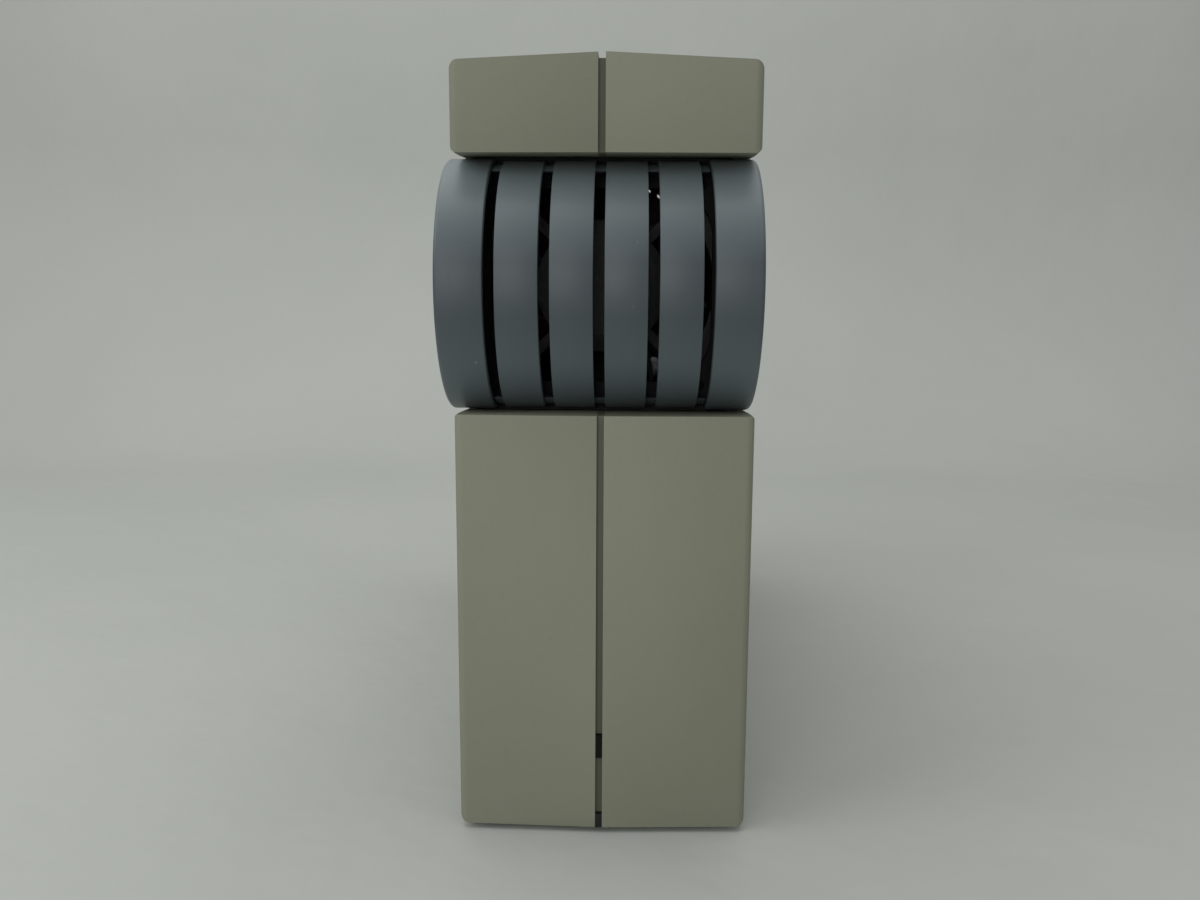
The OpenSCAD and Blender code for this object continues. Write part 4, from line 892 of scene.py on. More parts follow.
    @staticmethod
    def twin(piece: bpy.types.Object, name: str,
             shift: Sequence[float] = (0.0, 0.0, 0.0)) -> bpy.types.Object:
        """Copies a piece with a mesh of its own.

        Args:
            piece: The piece.
            name: The copy's name.
            shift: How far the copy is moved, in millimetres.

        Returns:
            The copy.
        """
        copy = bpy.data.objects.new(name, piece.data.copy())
        bpy.context.scene.collection.objects.link(copy)
        copy.data.transform(Matrix.Translation(Vector(shift) * MM))
        return copy

    @staticmethod
    def carve(piece: bpy.types.Object, tool: bpy.types.Object, keep: bool = False) -> None:
        """Cuts a piece with a tool and removes the tool.

        Args:
            piece: The piece.
            tool: The tool.
            keep: Whether the piece keeps what lies inside the tool and not what lies outside.
        """
        cut = piece.modifiers.new("cut", "BOOLEAN")
        cut.operation = "INTERSECT" if keep else "DIFFERENCE"
        cut.solver = "EXACT"
        cut.object = tool
        Bench.apply(piece)
        bpy.data.objects.remove(tool)

    @staticmethod
    def apply(piece: bpy.types.Object) -> None:
        """Applies every modifier of a piece.

        Args:
            piece: The piece.
        """
        Bench.pick(piece)
        for modifier in list(piece.modifiers):
            bpy.ops.object.modifier_apply(modifier=modifier.name)


class Parts:
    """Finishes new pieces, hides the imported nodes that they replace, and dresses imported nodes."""

    def __init__(self) -> None:
        """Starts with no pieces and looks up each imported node's slot."""
        self.count = 0
        self.slots = {part["node"]: part["material_slot"] for part in frame["record"]["subparts"]}

    def dress(self, finish: bpy.types.Material, *nodes: str) -> None:
        """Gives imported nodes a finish.

        Args:
            finish: The material.
            *nodes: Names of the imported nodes.
        """
        for node in nodes:
            mesh = frame["nodes"][node].data
            mesh.materials.clear()
            mesh.materials.append(finish)
            LOG.info("%s: dressed in %s", node, finish.name)

    def book(self, piece: bpy.types.Object, body: str, finish: bpy.types.Material,
             stands_for: Sequence[str] = (), crease: Crease = Crease.CUT) -> bpy.types.Object:
        """Finishes a piece: its material, its shading, its body and what it stands for.

        Args:
            piece: The piece, in its place.
            body: The body that it rides on.
            finish: Its material.
            stands_for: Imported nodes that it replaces.
            crease: How sharp an edge has to be to stay sharp.

        Returns:
            The same piece.
        """
        Bench.settle(piece)
        piece.data.materials.clear()
        piece.data.materials.append(finish)
        bpy.ops.object.shade_smooth_by_angle(angle=math.radians(crease.value))
        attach(piece, body)
        if stands_for:
            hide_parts(*stands_for)
        self.count += 1
        LOG.info("%s: on %s, %d faces", piece.name, body, len(piece.data.polygons))
        return piece


# Sub-assemblies

ROOT = "enclosure"


@dataclass
class CaseShells:
    """The two half shells, with the soft edges of moulded plastic."""

    ridge_y: float = -119.25
    rear_y: float = 115.75
    left_x: float = -34.1
    right_x: float = 36.7
    part_x: float = 1.3
    channel_w: float = 1.7
    channel_near: float = 0.4
    band_z0: float = 104.3
    band_z1: float = 163.9
    ridge_z: float = 185.5
    front_d: float = 3.6
    edge: float = 0.55
    lip: float = 0.25
    upper_corner: float = 1.8
    lower_corner: float = 1.1
    wall_y: float = -93.0
    cutter_over: float = 5.0
    core_over: float = 2.0
    ledge_near: float = 0.5
    ledge_inset: float = 0.3
    side_near: float = 0.05
    rim_near: float = 0.06
    skin_near: float = 0.12

    def round_corner(self, shell: bpy.types.Object, side: int, level: float, way: int,
                     radius: float) -> None:
        """Rounds a panel's corner beside the band with a hollow cutter.

        Args:
            shell: The shell.
            side: -1 for the left wall and 1 for the right one.
            level: Height of the panel's edge.
            way: 1 where the panel lies above the edge, -1 where it lies below.
            radius: Radius of the corner.
        """
        wall = self.right_x if side > 0 else self.left_x
        inner, outer = wall - side * radius, wall + side
        near, far = level + way * radius, level - way
        low = (min(inner, outer), self.ridge_y - self.cutter_over, min(near, far))
        high = (max(inner, outer), self.wall_y, max(near, far))
        cutter = Bench.block("corner_cutter", low, high)
        middle_y = (low[1] + high[1]) / 2
        core = Bench.drum("corner_core", (inner, middle_y, near), radius,
                          high[1] - low[1] + self.core_over)
        Bench.carve(cutter, core)
        Bench.carve(shell, cutter)

    def outer(self, middle: Vector, angle: float) -> bool:
        """Takes the sharp outer edges of the front, the top and the underside.

        Args:
            middle: The edge's middle in millimetres.
            angle: The angle between its faces in degrees.

        Returns:
            Whether the edge is taken.
        """
        if angle < SHARP:
            return False
        channel = abs(middle.x - self.part_x) < self.channel_w + self.channel_near
        return self.at_front(middle) and not channel and not self.at_ledge(middle)

    def at_front(self, middle: Vector) -> bool:
        """Says whether a place lies on the front's ridge and slopes."""
        return middle.y < self.ridge_y + self.front_d

    def at_ledge(self, middle: Vector) -> bool:
        """Says whether a place lies on the rims of the ledges over and under the band.

        Args:
            middle: The place in millimetres.

        Returns:
            Whether it lies there, away from the side walls.
        """
        gaps = (abs(middle.z - level) for level in (self.band_z0, self.band_z1))
        inside = self.left_x + self.ledge_inset < middle.x < self.right_x - self.ledge_inset
        return inside and min(gaps) < self.ledge_near

    def ledge_rim(self, middle: Vector, angle: float) -> bool:
        """Takes the front rims of the two ledges."""
        return angle > SHARP and self.at_front(middle) and self.at_ledge(middle)

    def side_rim(self, middle: Vector, angle: float) -> bool:
        """Takes the rims of the band's recess on the sides, and the rear edge.

        Args:
            middle: The edge's middle in millimetres.
            angle: The angle between its faces in degrees.

        Returns:
            Whether the edge is taken.
        """
        if angle < SHARP or self.at_front(middle):
            return False
        at_left = middle.x < self.left_x + self.side_near
        at_right = middle.x > self.right_x - self.side_near
        at_rear = middle.y > self.rear_y - self.side_near
        return at_left or at_right or at_rear

    def channel_rim(self, middle: Vector, angle: float) -> bool:
        """Takes the channel's two rims on the front and the top.

        Args:
            middle: The edge's middle in millimetres.
            angle: The angle between its faces in degrees.

        Returns:
            Whether the edge is taken.
        """
        walls = (abs(middle.x - self.part_x), abs(middle.x - self.part_x + self.channel_w))
        on_front = middle.y < self.ridge_y + self.skin_near
        on_top = middle.z > self.ridge_z - self.skin_near
        return angle > SHARP and min(walls) < self.rim_near and (on_front or on_top)

    def build(self, parts: Parts, finish: bpy.types.Material) -> None:
        """Builds both shells.

        Args:
            parts: Takes the finished pieces.
            finish: The case's material.
        """
        for side in ("left", "right"):
            shell = Bench.cast(f"{side}_shell", f"case_{side}")
            way = -1 if side == "left" else 1
            self.round_corner(shell, way, self.band_z1, 1, self.upper_corner)
            self.round_corner(shell, way, self.band_z0, -1, self.lower_corner)
            Bench.soften(shell, self.edge, Round.SOFT, self.outer)
            Bench.soften(shell, self.lip, Round.FINE, self.ledge_rim)
            Bench.soften(shell, self.lip, Round.FINE, self.side_rim)
            Bench.soften(shell, self.lip, Round.FINE, self.channel_rim)
            parts.book(shell, ROOT, finish, (f"{side}_shell",), Crease.MOULDED)


@dataclass
class LouvreBand:
    """The barrel-shaped band: four bars with their webs, and the cheeks that wrap round."""

    wall_y: float = -92.85
    wall_near: float = 0.3
    edge: float = 0.4
    crease: float = 0.9
    band_x: float = 37.45
    side_near: float = 0.05
    leg_x: float = 30.0

    def bar_edge(self, middle: Vector, angle: float) -> bool:
        """Takes every sharp edge of the bars."""
        return angle > SHARP and middle.y < self.wall_y - self.wall_near

    def cheek_edge(self, middle: Vector, angle: float) -> bool:
        """Takes the crease between a cheek's front and its side, and its outer rim."""
        return angle > SHARP and abs(middle.x) > self.band_x - self.side_near

    def slot_edge(self, middle: Vector, angle: float) -> bool:
        """Takes the edges of a cheek's front leg beside the slot next to it."""
        return abs(middle.x) < self.leg_x and self.bar_edge(middle, angle)

    def build(self, parts: Parts, finish: bpy.types.Material) -> None:
        """Builds the louvre insert and both cheeks.

        Args:
            parts: Takes the finished pieces.
            finish: The trim's material.
        """
        bars = Bench.cast("louvre_insert", "louvre_bars")
        Bench.soften(bars, self.edge, Round.FINE, self.bar_edge)
        parts.book(bars, ROOT, finish, ("louvre_insert",), Crease.MOULDED)
        for side in ("left", "right"):
            cheek = Bench.cast(f"{side}_cheek", f"cheek_{side}")
            Bench.soften(cheek, self.crease, Round.FULL, self.cheek_edge)
            Bench.soften(cheek, self.edge, Round.FINE, self.slot_edge)
            parts.book(cheek, ROOT, finish, (f"{side}_cheek",),
                       Crease.MOULDED)


@dataclass
class CoolingFan:
    """The fan behind the louvres: a rotor with curved blades, the frame and its blank label."""

    middle_z: float = 134.1
    cup_y: float = -86.55
    cup_l: float = 15.9
    cup_t: float = 1.6
    hub_r: float = 15.5
    shaft_r: float = 1.5
    root_x: float = 13.6
    tip_x: float = 28.2
    sweep_r: float = 27.65
    reach_l: float = 60.0
    blades: int = 7
    steps: int = 7
    chord: float = 24.0
    camber_r: float = 24.0
    blade_t: float = 1.1
    root_pitch: float = 54.0
    tip_pitch: float = 50.0
    phase: float = -24.2
    edge: float = 0.3
    near: float = 0.1
    cup_edge: float = 1.2
    shaft_gap: float = 0.8
    shaft_edge: float = 0.25
    label_r: float = 12.5
    label_t: float = 0.12
    label_gap: float = 0.02
    label_edge: float = 0.04
    face_y: float = -89.85

    def cup(self) -> bpy.types.Object:
        """Models the hub: a cup with a rounded end, open in front, on its shaft.

        Returns:
            The hub.
        """
        middle = (0.0, self.cup_y + self.cup_l / 2, self.middle_z)
        cup = Bench.drum("fan_cup", middle, self.hub_r, self.cup_l, 96)
        Bench.faces(cup, lambda at, normal: normal.y < -FACING)
        bpy.ops.mesh.inset(thickness=self.cup_t * MM)
        depth = (self.cup_l - self.cup_t) * MM
        bpy.ops.mesh.extrude_region_move(TRANSFORM_OT_translate={"value": (0.0, depth, 0.0)})
        bpy.ops.object.mode_set(mode="OBJECT")
        back_y = self.cup_y + self.cup_l - self.near
        Bench.soften(cup, self.cup_edge, Round.FULL,
                     lambda at, angle: square(at, angle) and at.y > back_y)
        face_y = self.cup_y + self.near
        Bench.soften(cup, self.edge, Round.FINE,
                     lambda at, angle: square(at, angle) and at.y < face_y)
        shaft_l = self.cup_l - self.cup_t / 2 - self.shaft_gap
        middle = (0.0, self.cup_y + self.shaft_gap + shaft_l / 2, self.middle_z)
        shaft = Bench.drum("fan_shaft", middle, self.shaft_r, shaft_l, 32)
        Bench.soften(shaft, self.shaft_edge, Round.FINE, square)
        return Bench.join("fan_cup", [cup, shaft])

    def blade(self) -> bpy.types.Object:
        """Models one blade: a curved edge drawn out from the hub and turned as it goes.

        Returns:
            The blade in its place, pointing along X.
        """
        Bench.clear()
        bpy.ops.mesh.primitive_circle_add(vertices=96, radius=self.camber_r * MM, fill_type="NOTHING",
                                          rotation=(0.0, math.pi / 2, 0.0))
        piece = bpy.context.object
        piece.name = "fan_blade"
        Bench.settle(piece)
        half = math.asin(self.chord / 2 / self.camber_r)
        low = self.camber_r * math.cos(half)
        Bench.edges(piece, lambda at, angle: at.z < low)
        bpy.ops.mesh.delete(type="EDGE")
        bpy.ops.mesh.select_all(action="SELECT")
        rise = self.camber_r - (self.camber_r - low) / 2
        bpy.ops.transform.translate(value=(self.root_x * MM, 0.0, -rise * MM))
        bpy.ops.transform.rotate(value=math.radians(self.root_pitch), orient_axis="X",
                                 center_override=(0.0, 0.0, 0.0))
        turn = math.radians(self.tip_pitch - self.root_pitch) / self.steps
        step = (self.tip_x - self.root_x) / self.steps
        for _ in range(self.steps):
            bpy.ops.mesh.extrude_region_move(TRANSFORM_OT_translate={"value": (step * MM, 0.0, 0.0)})
            bpy.ops.transform.rotate(value=turn, orient_axis="X", center_override=(0.0, 0.0, 0.0))
        bpy.ops.object.mode_set(mode="OBJECT")
        skin = piece.modifiers.new("skin", "SOLIDIFY")
        skin.thickness = self.blade_t * MM
        skin.offset = 0.0
        Bench.apply(piece)
        reach = Bench.drum("blade_reach", (0.0, 0.0, 0.0), self.sweep_r, self.reach_l, 128)
        Bench.carve(piece, reach, True)
        Bench.soften(piece, self.edge, Round.FINE, square)
        shift = Vector((0.0, self.cup_y + self.cup_l / 2, self.middle_z)) * MM
        piece.data.transform(Matrix.Translation(shift))
        return piece

    def build(self, parts: Parts, black: bpy.types.Material, rotor: bpy.types.Material,
              screws: bpy.types.Material, label: bpy.types.Material) -> None:
        """Builds the fan.

        Args:
            parts: Takes the finished pieces.
            black: The frame's material.
            rotor: The rotor's material.
            screws: The material of its dark screws.
            label: The blank label's material.
        """
        middle = Vector((0.0, 0.0, self.middle_z)) * MM
        first = self.blade()
        blades: list[bpy.types.Object] = []
        for i in range(self.blades):
            angle = math.radians(self.phase) + 2 * math.pi * i / self.blades
            turn = Matrix.Rotation(angle, 4, "Y")
            copy = Bench.twin(first, f"fan_blade_{i}")
            copy.data.transform(Matrix.Translation(middle) @ turn @ Matrix.Translation(-middle))
            blades.append(copy)
        bpy.data.objects.remove(first)
        wheel = Bench.join("fan_wheel", [self.cup(), *blades])
        parts.book(wheel, "fan_rotor_body", rotor, ("fan_rotor",), Crease.SMALL)
        frame_piece = Bench.cast("fan_frame", "fan_housing")
        Bench.soften(frame_piece, self.edge, Round.FINE, brisk)
        parts.book(frame_piece, ROOT, black, ("fan_frame",), Crease.SMALL)
        parts.dress(screws, "fan_screws")
        label_y = self.face_y - self.label_t / 2 - self.label_gap
        sticker = Bench.drum("fan_label", (0.0, label_y, self.middle_z), self.label_r,
                             self.label_t, 64)
        Bench.soften(sticker, self.label_edge, Round.BROKEN, square)
        parts.book(sticker, ROOT, label)


@dataclass
class RearPorts:
    """The two ribbon contact ports: soft plated shells, tongues with contacts, and wire bails."""

    xs: tuple[float, float] = (-14.5, 17.1)
    middle_z: float = 57.5
    tongue_t: float = 4.4
    contact_t: float = 0.3
    contact_w: float = 0.9
    contact_y: tuple[float, float] = (114.6, 120.6)
    contact_sunk: float = 0.22
    contact_edge: float = 0.12
    contact_near: float = 0.1
    pitch: float = 2.16
    count: int = 25
    edge: float = 0.25
    tongue_edge: float = 0.15

    def contacts(self, name: str, x: float) -> bpy.types.Object:
        """Models one contact and copies it along both faces of a tongue.

        Args:
            name: The row's name.
            x: The tongue's middle.

        Returns:
            All contacts of one port as one piece.
        """
        near_y = self.contact_y[0] + self.contact_near
        rows: list[bpy.types.Object] = []
        for side in (-1, 1):
            face = x + side * (self.tongue_t / 2 - self.contact_sunk)
            low = (face - self.contact_t / 2, self.contact_y[0], self.middle_z - self.contact_w / 2)
            high = (face + self.contact_t / 2, self.contact_y[1], self.middle_z + self.contact_w / 2)
            first = Bench.block(f"{name}_{side}", low, high)
            Bench.soften(first, self.contact_edge, Round.FINE,
                         lambda at, angle: square(at, angle) and at.y > near_y)
            half = (self.count - 1) / 2
            rows += [Bench.twin(first, f"{name}_{side}_{i}", (0.0, 0.0, (i - half) * self.pitch))
                     for i in range(self.count)]
            bpy.data.objects.remove(first)
        return Bench.join(name, rows)

    def build(self, parts: Parts, steel: bpy.types.Material, black: bpy.types.Material,
              blade: bpy.types.Material) -> None:
        """Builds both ports.

        Args:
            parts: Takes the finished pieces.
            steel: The shells' and bails' material.
            black: The inserts' material.
            blade: The contacts' material.
        """
        shells = Bench.cast("port_shells", "port_skirts")
        Bench.soften(shells, self.edge, Round.FINE, brisk)
        parts.book(shells, ROOT, steel, ("port_shells",), Crease.SMALL)
        inserts = Bench.cast("port_inserts", "port_tongues")
        Bench.soften(inserts, self.tongue_edge, Round.FINE, brisk)
        parts.book(inserts, ROOT, black, ("port_inserts",), Crease.SMALL)
        for letter, x in zip("ab", self.xs):
            contacts = self.contacts(f"port_{letter}_contacts", x)
            parts.book(contacts, ROOT, blade)
            for row in ("upper", "lower"):
                bail = Bench.cast(f"bail_{letter}_{row}", f"wire_{letter}_{row}")
                parts.book(bail, f"bail_{letter}_{row}_body", steel,
                           (f"bail_{letter}_{row}",), Crease.BENT)


@dataclass
class RearControls:
    """The power inlet and switch, the number selector and the termination switch."""

    panel_y: float = 112.75
    switch: tuple[float, float] = (20.3, 147.5)
    rocker_y: float = 111.25
    rocker_tilt: float = 9.0
    rocker_nose: float = 4.5
    rocker_dip: float = 0.8
    rocker_half: float = 7.3
    selector: tuple[float, float] = (20.3, 120.5)
    wheel_y: float = 106.8
    wheel_r: float = 7.0
    button_dz: float = 9.4
    button_face_y: float = 115.75
    slider: tuple[float, float] = (-13.7, 120.5)
    slider_face_y: float = 114.55
    mark: float = 2.6
    stroke: float = 0.45
    rise: float = 0.06
    round_share: float = 0.8
    ring_flat: float = 0.3
    sign_share: float = 0.8
    digit_share: float = 1.2
    digits: int = 10
    housing_edge: float = 0.3
    cap_edge: float = 0.35

    def bar(self, name: str, middle: Sequence[float], width: float,
            height: float) -> bpy.types.Object:
        """Models a raised stroke that faces the rear.

        Args:
            name: The stroke's name.
            middle: Its middle in millimetres.
            width: Its width.
            height: Its height.

        Returns:
            The stroke, its rear edges rounded.
        """
        low = (middle[0] - width / 2, middle[1] - self.rise, middle[2] - height / 2)
        high = (middle[0] + width / 2, middle[1] + self.rise, middle[2] + height / 2)
        stroke = Bench.block(name, low, high)
        Bench.soften(stroke, self.rise * self.round_share, Round.FINE,
                     lambda at, angle: square(at, angle) and at.y > middle[1])
        return stroke

    def rocker_marks(self, parts: Parts, white: bpy.types.Material) -> None:
        """Builds the rocker's on and off marks, tilted with the rocker's two faces.

        Args:
            parts: Takes the finished pieces.
            white: The marks' material.
        """
        x, z = self.switch
        slope = math.atan(self.rocker_dip / self.rocker_half)
        for way, name in ((1, "mark_on"), (-1, "mark_off")):
            if way > 0:
                piece = self.bar(name, (0.0, 0.0, 0.0), self.stroke, self.mark)
            else:
                Bench.clear()
                bpy.ops.mesh.primitive_torus_add(major_radius=self.mark / 2 * MM,
                                                 minor_radius=self.stroke / 2 * MM,
                                                 major_segments=48, minor_segments=8,
                                                 rotation=ALONG_Y)
                piece = bpy.context.object
                piece.name = name
                Bench.settle(piece)
                piece.data.transform(Matrix.Diagonal((1.0, self.ring_flat, 1.0, 1.0)))
            out = self.rocker_nose - self.rocker_dip / 2
            tilt = Matrix.Rotation(math.radians(self.rocker_tilt), 4, "X")
            lean = Matrix.Rotation(-way * slope, 4, "X")
            seat = Matrix.Translation(Vector((x, self.rocker_y, z)) * MM)
            place = Matrix.Translation(Vector((0.0, out, way * self.rocker_half / 2)) * MM)
            piece.data.transform(seat @ tilt @ place @ lean)
            parts.book(piece, "rocker_body", white)

    def wheel_digits(self, parts: Parts, ink: bpy.types.Material) -> None:
        """Builds the plain numbers round the selector's wheel.

        Args:
            parts: Takes the finished pieces.
            ink: The numbers' material.
        """
        x, z = self.selector
        numbers: list[bpy.types.Object] = []
        for number in range(self.digits):
            Bench.clear()
            bpy.ops.object.text_add()
            text = bpy.context.object
            text.data.body = str(number)
            text.data.size = self.mark * self.digit_share * MM
            text.data.align_x = "CENTER"
            text.data.align_y = "CENTER"
            text.data.extrude = self.rise * MM
            bpy.ops.object.convert(target="MESH")
            digit = bpy.context.object
            digit.name = f"digit_{number}"
            face_rear = Matrix.Rotation(math.pi, 4, "Z") @ Matrix.Rotation(math.pi / 2, 4, "X")
            turn = Matrix.Rotation(2 * math.pi * number / self.digits, 4, "X")
            out = Matrix.Translation(Vector((0.0, self.wheel_r, 0.0)) * MM)
            seat = Matrix.Translation(Vector((x, self.wheel_y, z)) * MM)
            digit.data.transform(seat @ turn @ out @ face_rear)
            numbers.append(digit)
        parts.book(Bench.join("wheel_digits", numbers), "wheel_body", ink)

    def button_signs(self, parts: Parts, white: bpy.types.Material) -> None:
        """Builds the plus and minus signs on the selector's buttons.

        Args:
            parts: Takes the finished pieces.
            white: The signs' material.
        """
        x, z = self.selector
        length = self.mark * self.sign_share
        for way, name in ((1, "plus"), (-1, "minus")):
            at = (x, self.button_face_y, z + way * self.button_dz)
            strokes = [self.bar(f"{name}_sign", at, length, self.stroke)]
            if way > 0:
                strokes.append(self.bar("plus_upright", at, self.stroke, length))
            sign = Bench.join(f"{name}_sign", strokes)
            parts.book(sign, f"{name}_button_body", white)

    def slider_ribs(self, parts: Parts, nylon: bpy.types.Material) -> None:
        """Builds the grip ribs on the termination slider.

        Args:
            parts: Takes the finished pieces.
            nylon: The slider's material.
        """
        x, z = self.slider
        first = self.bar("slider_ribs", (x, self.slider_face_y, z), self.stroke, self.mark)
        copies = [Bench.twin(first, f"slider_rib_{way}", (way * 2 * self.stroke, 0.0, 0.0))
                  for way in (-1, 1)]
        ribs = Bench.join("slider_ribs", [first, *copies])
        parts.book(ribs, "slider_body", nylon)

    def build(self, parts: Parts, black: bpy.types.Material, keys: bpy.types.Material,
              nylon: bpy.types.Material, white: bpy.types.Material) -> None:
        """Builds the controls.

        Args:
            parts: Takes the finished pieces.
            black: The housings' material.
            keys: The rocker's and buttons' material.
            nylon: The wheel's and slider's material.
            white: The marks' material.
        """
        rear_y = self.panel_y + self.housing_edge
        for node in ("power_inlet", "power_switch", "selector_body", "termination_switch"):
            piece = Bench.cast(node, f"{node}_housing")
            Bench.soften(piece, self.housing_edge, Round.SOFT,
                         lambda at, angle: brisk(at, angle) and at.y > rear_y)
            parts.book(piece, ROOT, black, (node,), Crease.SMALL)
        for node, body in (("power_rocker", "rocker_body"),
                           ("selector_plus_button", "plus_button_body"),
                           ("selector_minus_button", "minus_button_body")):
            piece = Bench.cast(node, f"{node}_cap")
            Bench.soften(piece, self.cap_edge, Round.SOFT, brisk)
            parts.book(piece, body, keys, (node,), Crease.SMALL)
        self.rocker_marks(parts, white)
        self.wheel_digits(parts, black)
        self.button_signs(parts, white)
        self.slider_ribs(parts, nylon)


@dataclass
class Underside:
    """The four rubber feet, with rounded rims."""

    edge: float = 0.6
    floor_near: float = 0.1

    def build(self, parts: Parts, rubber: bpy.types.Material) -> None:
        """Builds the feet.

        Args:
            parts: Takes the finished pieces.
            rubber: The feet's material.
        """
        feet = Bench.cast("feet", "rubber_feet")
        Bench.soften(feet, self.edge, Round.SOFT,
                     lambda at, angle: square(at, angle) and at.z < self.floor_near)
        parts.book(feet, ROOT, rubber, ("feet",), Crease.SMALL)


@dataclass
class Wiring:
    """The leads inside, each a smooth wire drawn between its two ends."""

    gap: float = 0.3
    lead_r: float = 1.0
    psu_l: float = 127.0
    psu_w: float = 56.0
    psu_y: float = -59.25
    psu_lead_y: float = 57.25
    part_z: float = 115.7
    terminal_w: float = 9.0
    terminal_h: float = 11.0
    header_x: float = 11.05
    header_t: float = 6.6
    board_x: float = 17.65
    plug_y: float = 80.05
    plug_l: float = 7.0
    power_z: float = 93.5
    power_l: float = 21.0
    pin_share: float = 0.238
    drive_w: float = 101.6
    fan_back_y: float = -69.85
    fan_hole_pitch: float = 50.0
    fan_foot_z: float = 104.6
    fin_t: float = 1.5
    lamp_x: float = 0.45
    lamp_z: float = 22.55
    lamp_board_y: float = -104.25
    lamp_board_w: float = 14.0
    board_t: float = 1.6
    chip_t: float = 1.8
    drive_front_y: float = -63.25
    light_lead_r: float = 0.7
    fan_lead_r: float = 0.8
    psu_share: float = 3.4
    shares: tuple[float, ...] = (-1.5, -0.5, 0.5, 1.5)
    lap: float = 0.15
    plug_edge: float = 0.9
    plug_near: float = 0.5

    def wire(self, name: str, start: Sequence[float], end: Sequence[float], leave: Sequence[float],
             arrive: Sequence[float], radius: float) -> bpy.types.Object:
        """Draws one smooth wire.

        Args:
            name: The wire's name.
            start: Where it starts, in millimetres.
            end: Where it ends.
            leave: The pull on its start.
            arrive: The pull on its end.
            radius: Its radius.

        Returns:
            The wire as a mesh with closed ends.
        """
        Bench.clear()
        bpy.ops.curve.primitive_bezier_curve_add()
        curve = bpy.context.object
        points = curve.data.splines[0].bezier_points
        for point, place, pull, way in ((points[0], start, leave, 1), (points[1], end, arrive, -1)):
            at, tug = Vector(place) * MM, Vector(pull) * MM * way
            point.handle_left_type = point.handle_right_type = "FREE"
            point.co, point.handle_right, point.handle_left = at, at + tug, at + tug
        points[0].handle_left = points[0].co * 2 - points[0].handle_right
        points[1].handle_right = points[1].co * 2 - points[1].handle_left
        curve.data.dimensions = "3D"
        curve.data.resolution_u = 28
        curve.data.bevel_depth = radius * MM
        curve.data.bevel_resolution = 5
        curve.data.use_fill_caps = True
        bpy.ops.object.convert(target="MESH")
        piece = bpy.context.object
        piece.name = name
        return piece

    def drive_lead(self, parts: Parts, finishes: Sequence[bpy.types.Material],
                   plug: bpy.types.Material) -> None:
        """Builds the four wires to the drive, with the plug that they end in.

        Args:
            parts: Takes the finished pieces.
            finishes: The wires' materials.
            plug: The plug's material.
        """
        left = self.psu_w / self.psu_share
        front_y = self.plug_y + self.plug_near
        low = [self.header_x, self.plug_y, self.power_z - self.power_l / 2]
        high = [self.board_x - self.lap, self.plug_y + self.plug_l,
                self.power_z + self.power_l / 2]
        housing = Bench.block("drive_plug", low, high)
        Bench.soften(housing, self.plug_edge, Round.SOFT,
                     lambda at, angle: at.y > front_y and square(at, angle))
        parts.book(housing, ROOT, plug, ("drive_power_lead",))
        pull = (0, self.drive_w / 6, 0)
        back = (0, -self.drive_w / 6, 0)
        for number, (share, finish) in enumerate(zip(self.shares, finishes)):
            start = (left + share * 3 * self.lead_r, self.psu_lead_y + self.terminal_w + self.gap,
                     self.part_z + self.terminal_h / 2)
            end = (self.header_x + self.header_t / 2, self.plug_y + self.plug_l - self.gap,
                   self.power_z + share * self.power_l * self.pin_share)
            wire = self.wire(f"drive_wire_{number}", start, end, pull, back, self.lead_r)
            parts.book(wire, ROOT, finish, ("drive_power_lead",), Crease.LEAD)

    def fan_wires(self, parts: Parts, finishes: Sequence[bpy.types.Material]) -> None:
        """Builds the fan's two wires.

        Args:
            parts: Takes the finished pieces.
            finishes: The wires' materials.
        """
        pull = (0, self.psu_l / 40, self.psu_l / 10)
        back = (0, self.psu_l / 20, 0)
        for way, finish in zip((-1, 1), finishes):
            start = (-self.fan_hole_pitch / 4 + way * 1.5 * self.lead_r,
                     self.fan_back_y + self.gap + self.lead_r, self.fan_foot_z)
            end = (-self.psu_w / self.psu_share + way * 2 * self.lead_r,
                   self.psu_y + self.fin_t - self.gap, self.part_z + self.terminal_h / 2)
            wire = self.wire(f"fan_wire_{way + 1}", start, end, pull, back, self.fan_lead_r)
            parts.book(wire, ROOT, finish, ("fan_lead",), Crease.LEAD)

    def light_wire(self, parts: Parts, finish: bpy.types.Material) -> None:
        """Builds the light's thin lead.

        Args:
            parts: Takes the finished pieces.
            finish: The wire's material.
        """
        start = (self.lamp_x + self.lamp_board_w / 4, self.lamp_board_y + self.board_t + self.gap,
                 self.lamp_z)
        end = (self.board_x + self.board_t + self.chip_t / 2 + self.gap / 2,
               self.drive_front_y - self.gap, self.lamp_z)
        pull = (0.0, (end[1] - start[1]) / 2, 0.0)
        wire = self.wire("light_wire", start, end, pull, pull, self.light_lead_r)
        parts.book(wire, ROOT, finish, ("light_lead",), Crease.LEAD)


# Studio


@dataclass(frozen=True)
class Lamp:
    """One soft square lamp: lengths in millimetres, power in watts."""

    name: str
    at: tuple[float, float, float]
    aim_at: tuple[float, float, float]
    size: float
    power: float

    def add(self) -> None:
        """Adds the lamp to the scene."""
        data = bpy.data.lights.new(self.name, "AREA")
        data.size = self.size * MM
        data.energy = self.power
        lamp = bpy.data.objects.new(self.name, data)
        bpy.context.scene.collection.objects.link(lamp)
        lamp.location = Vector(self.at) * MM
        ahead = Vector(self.aim_at) - Vector(self.at)
        lamp.rotation_euler = ahead.to_track_quat("-Z", "Y").to_euler()


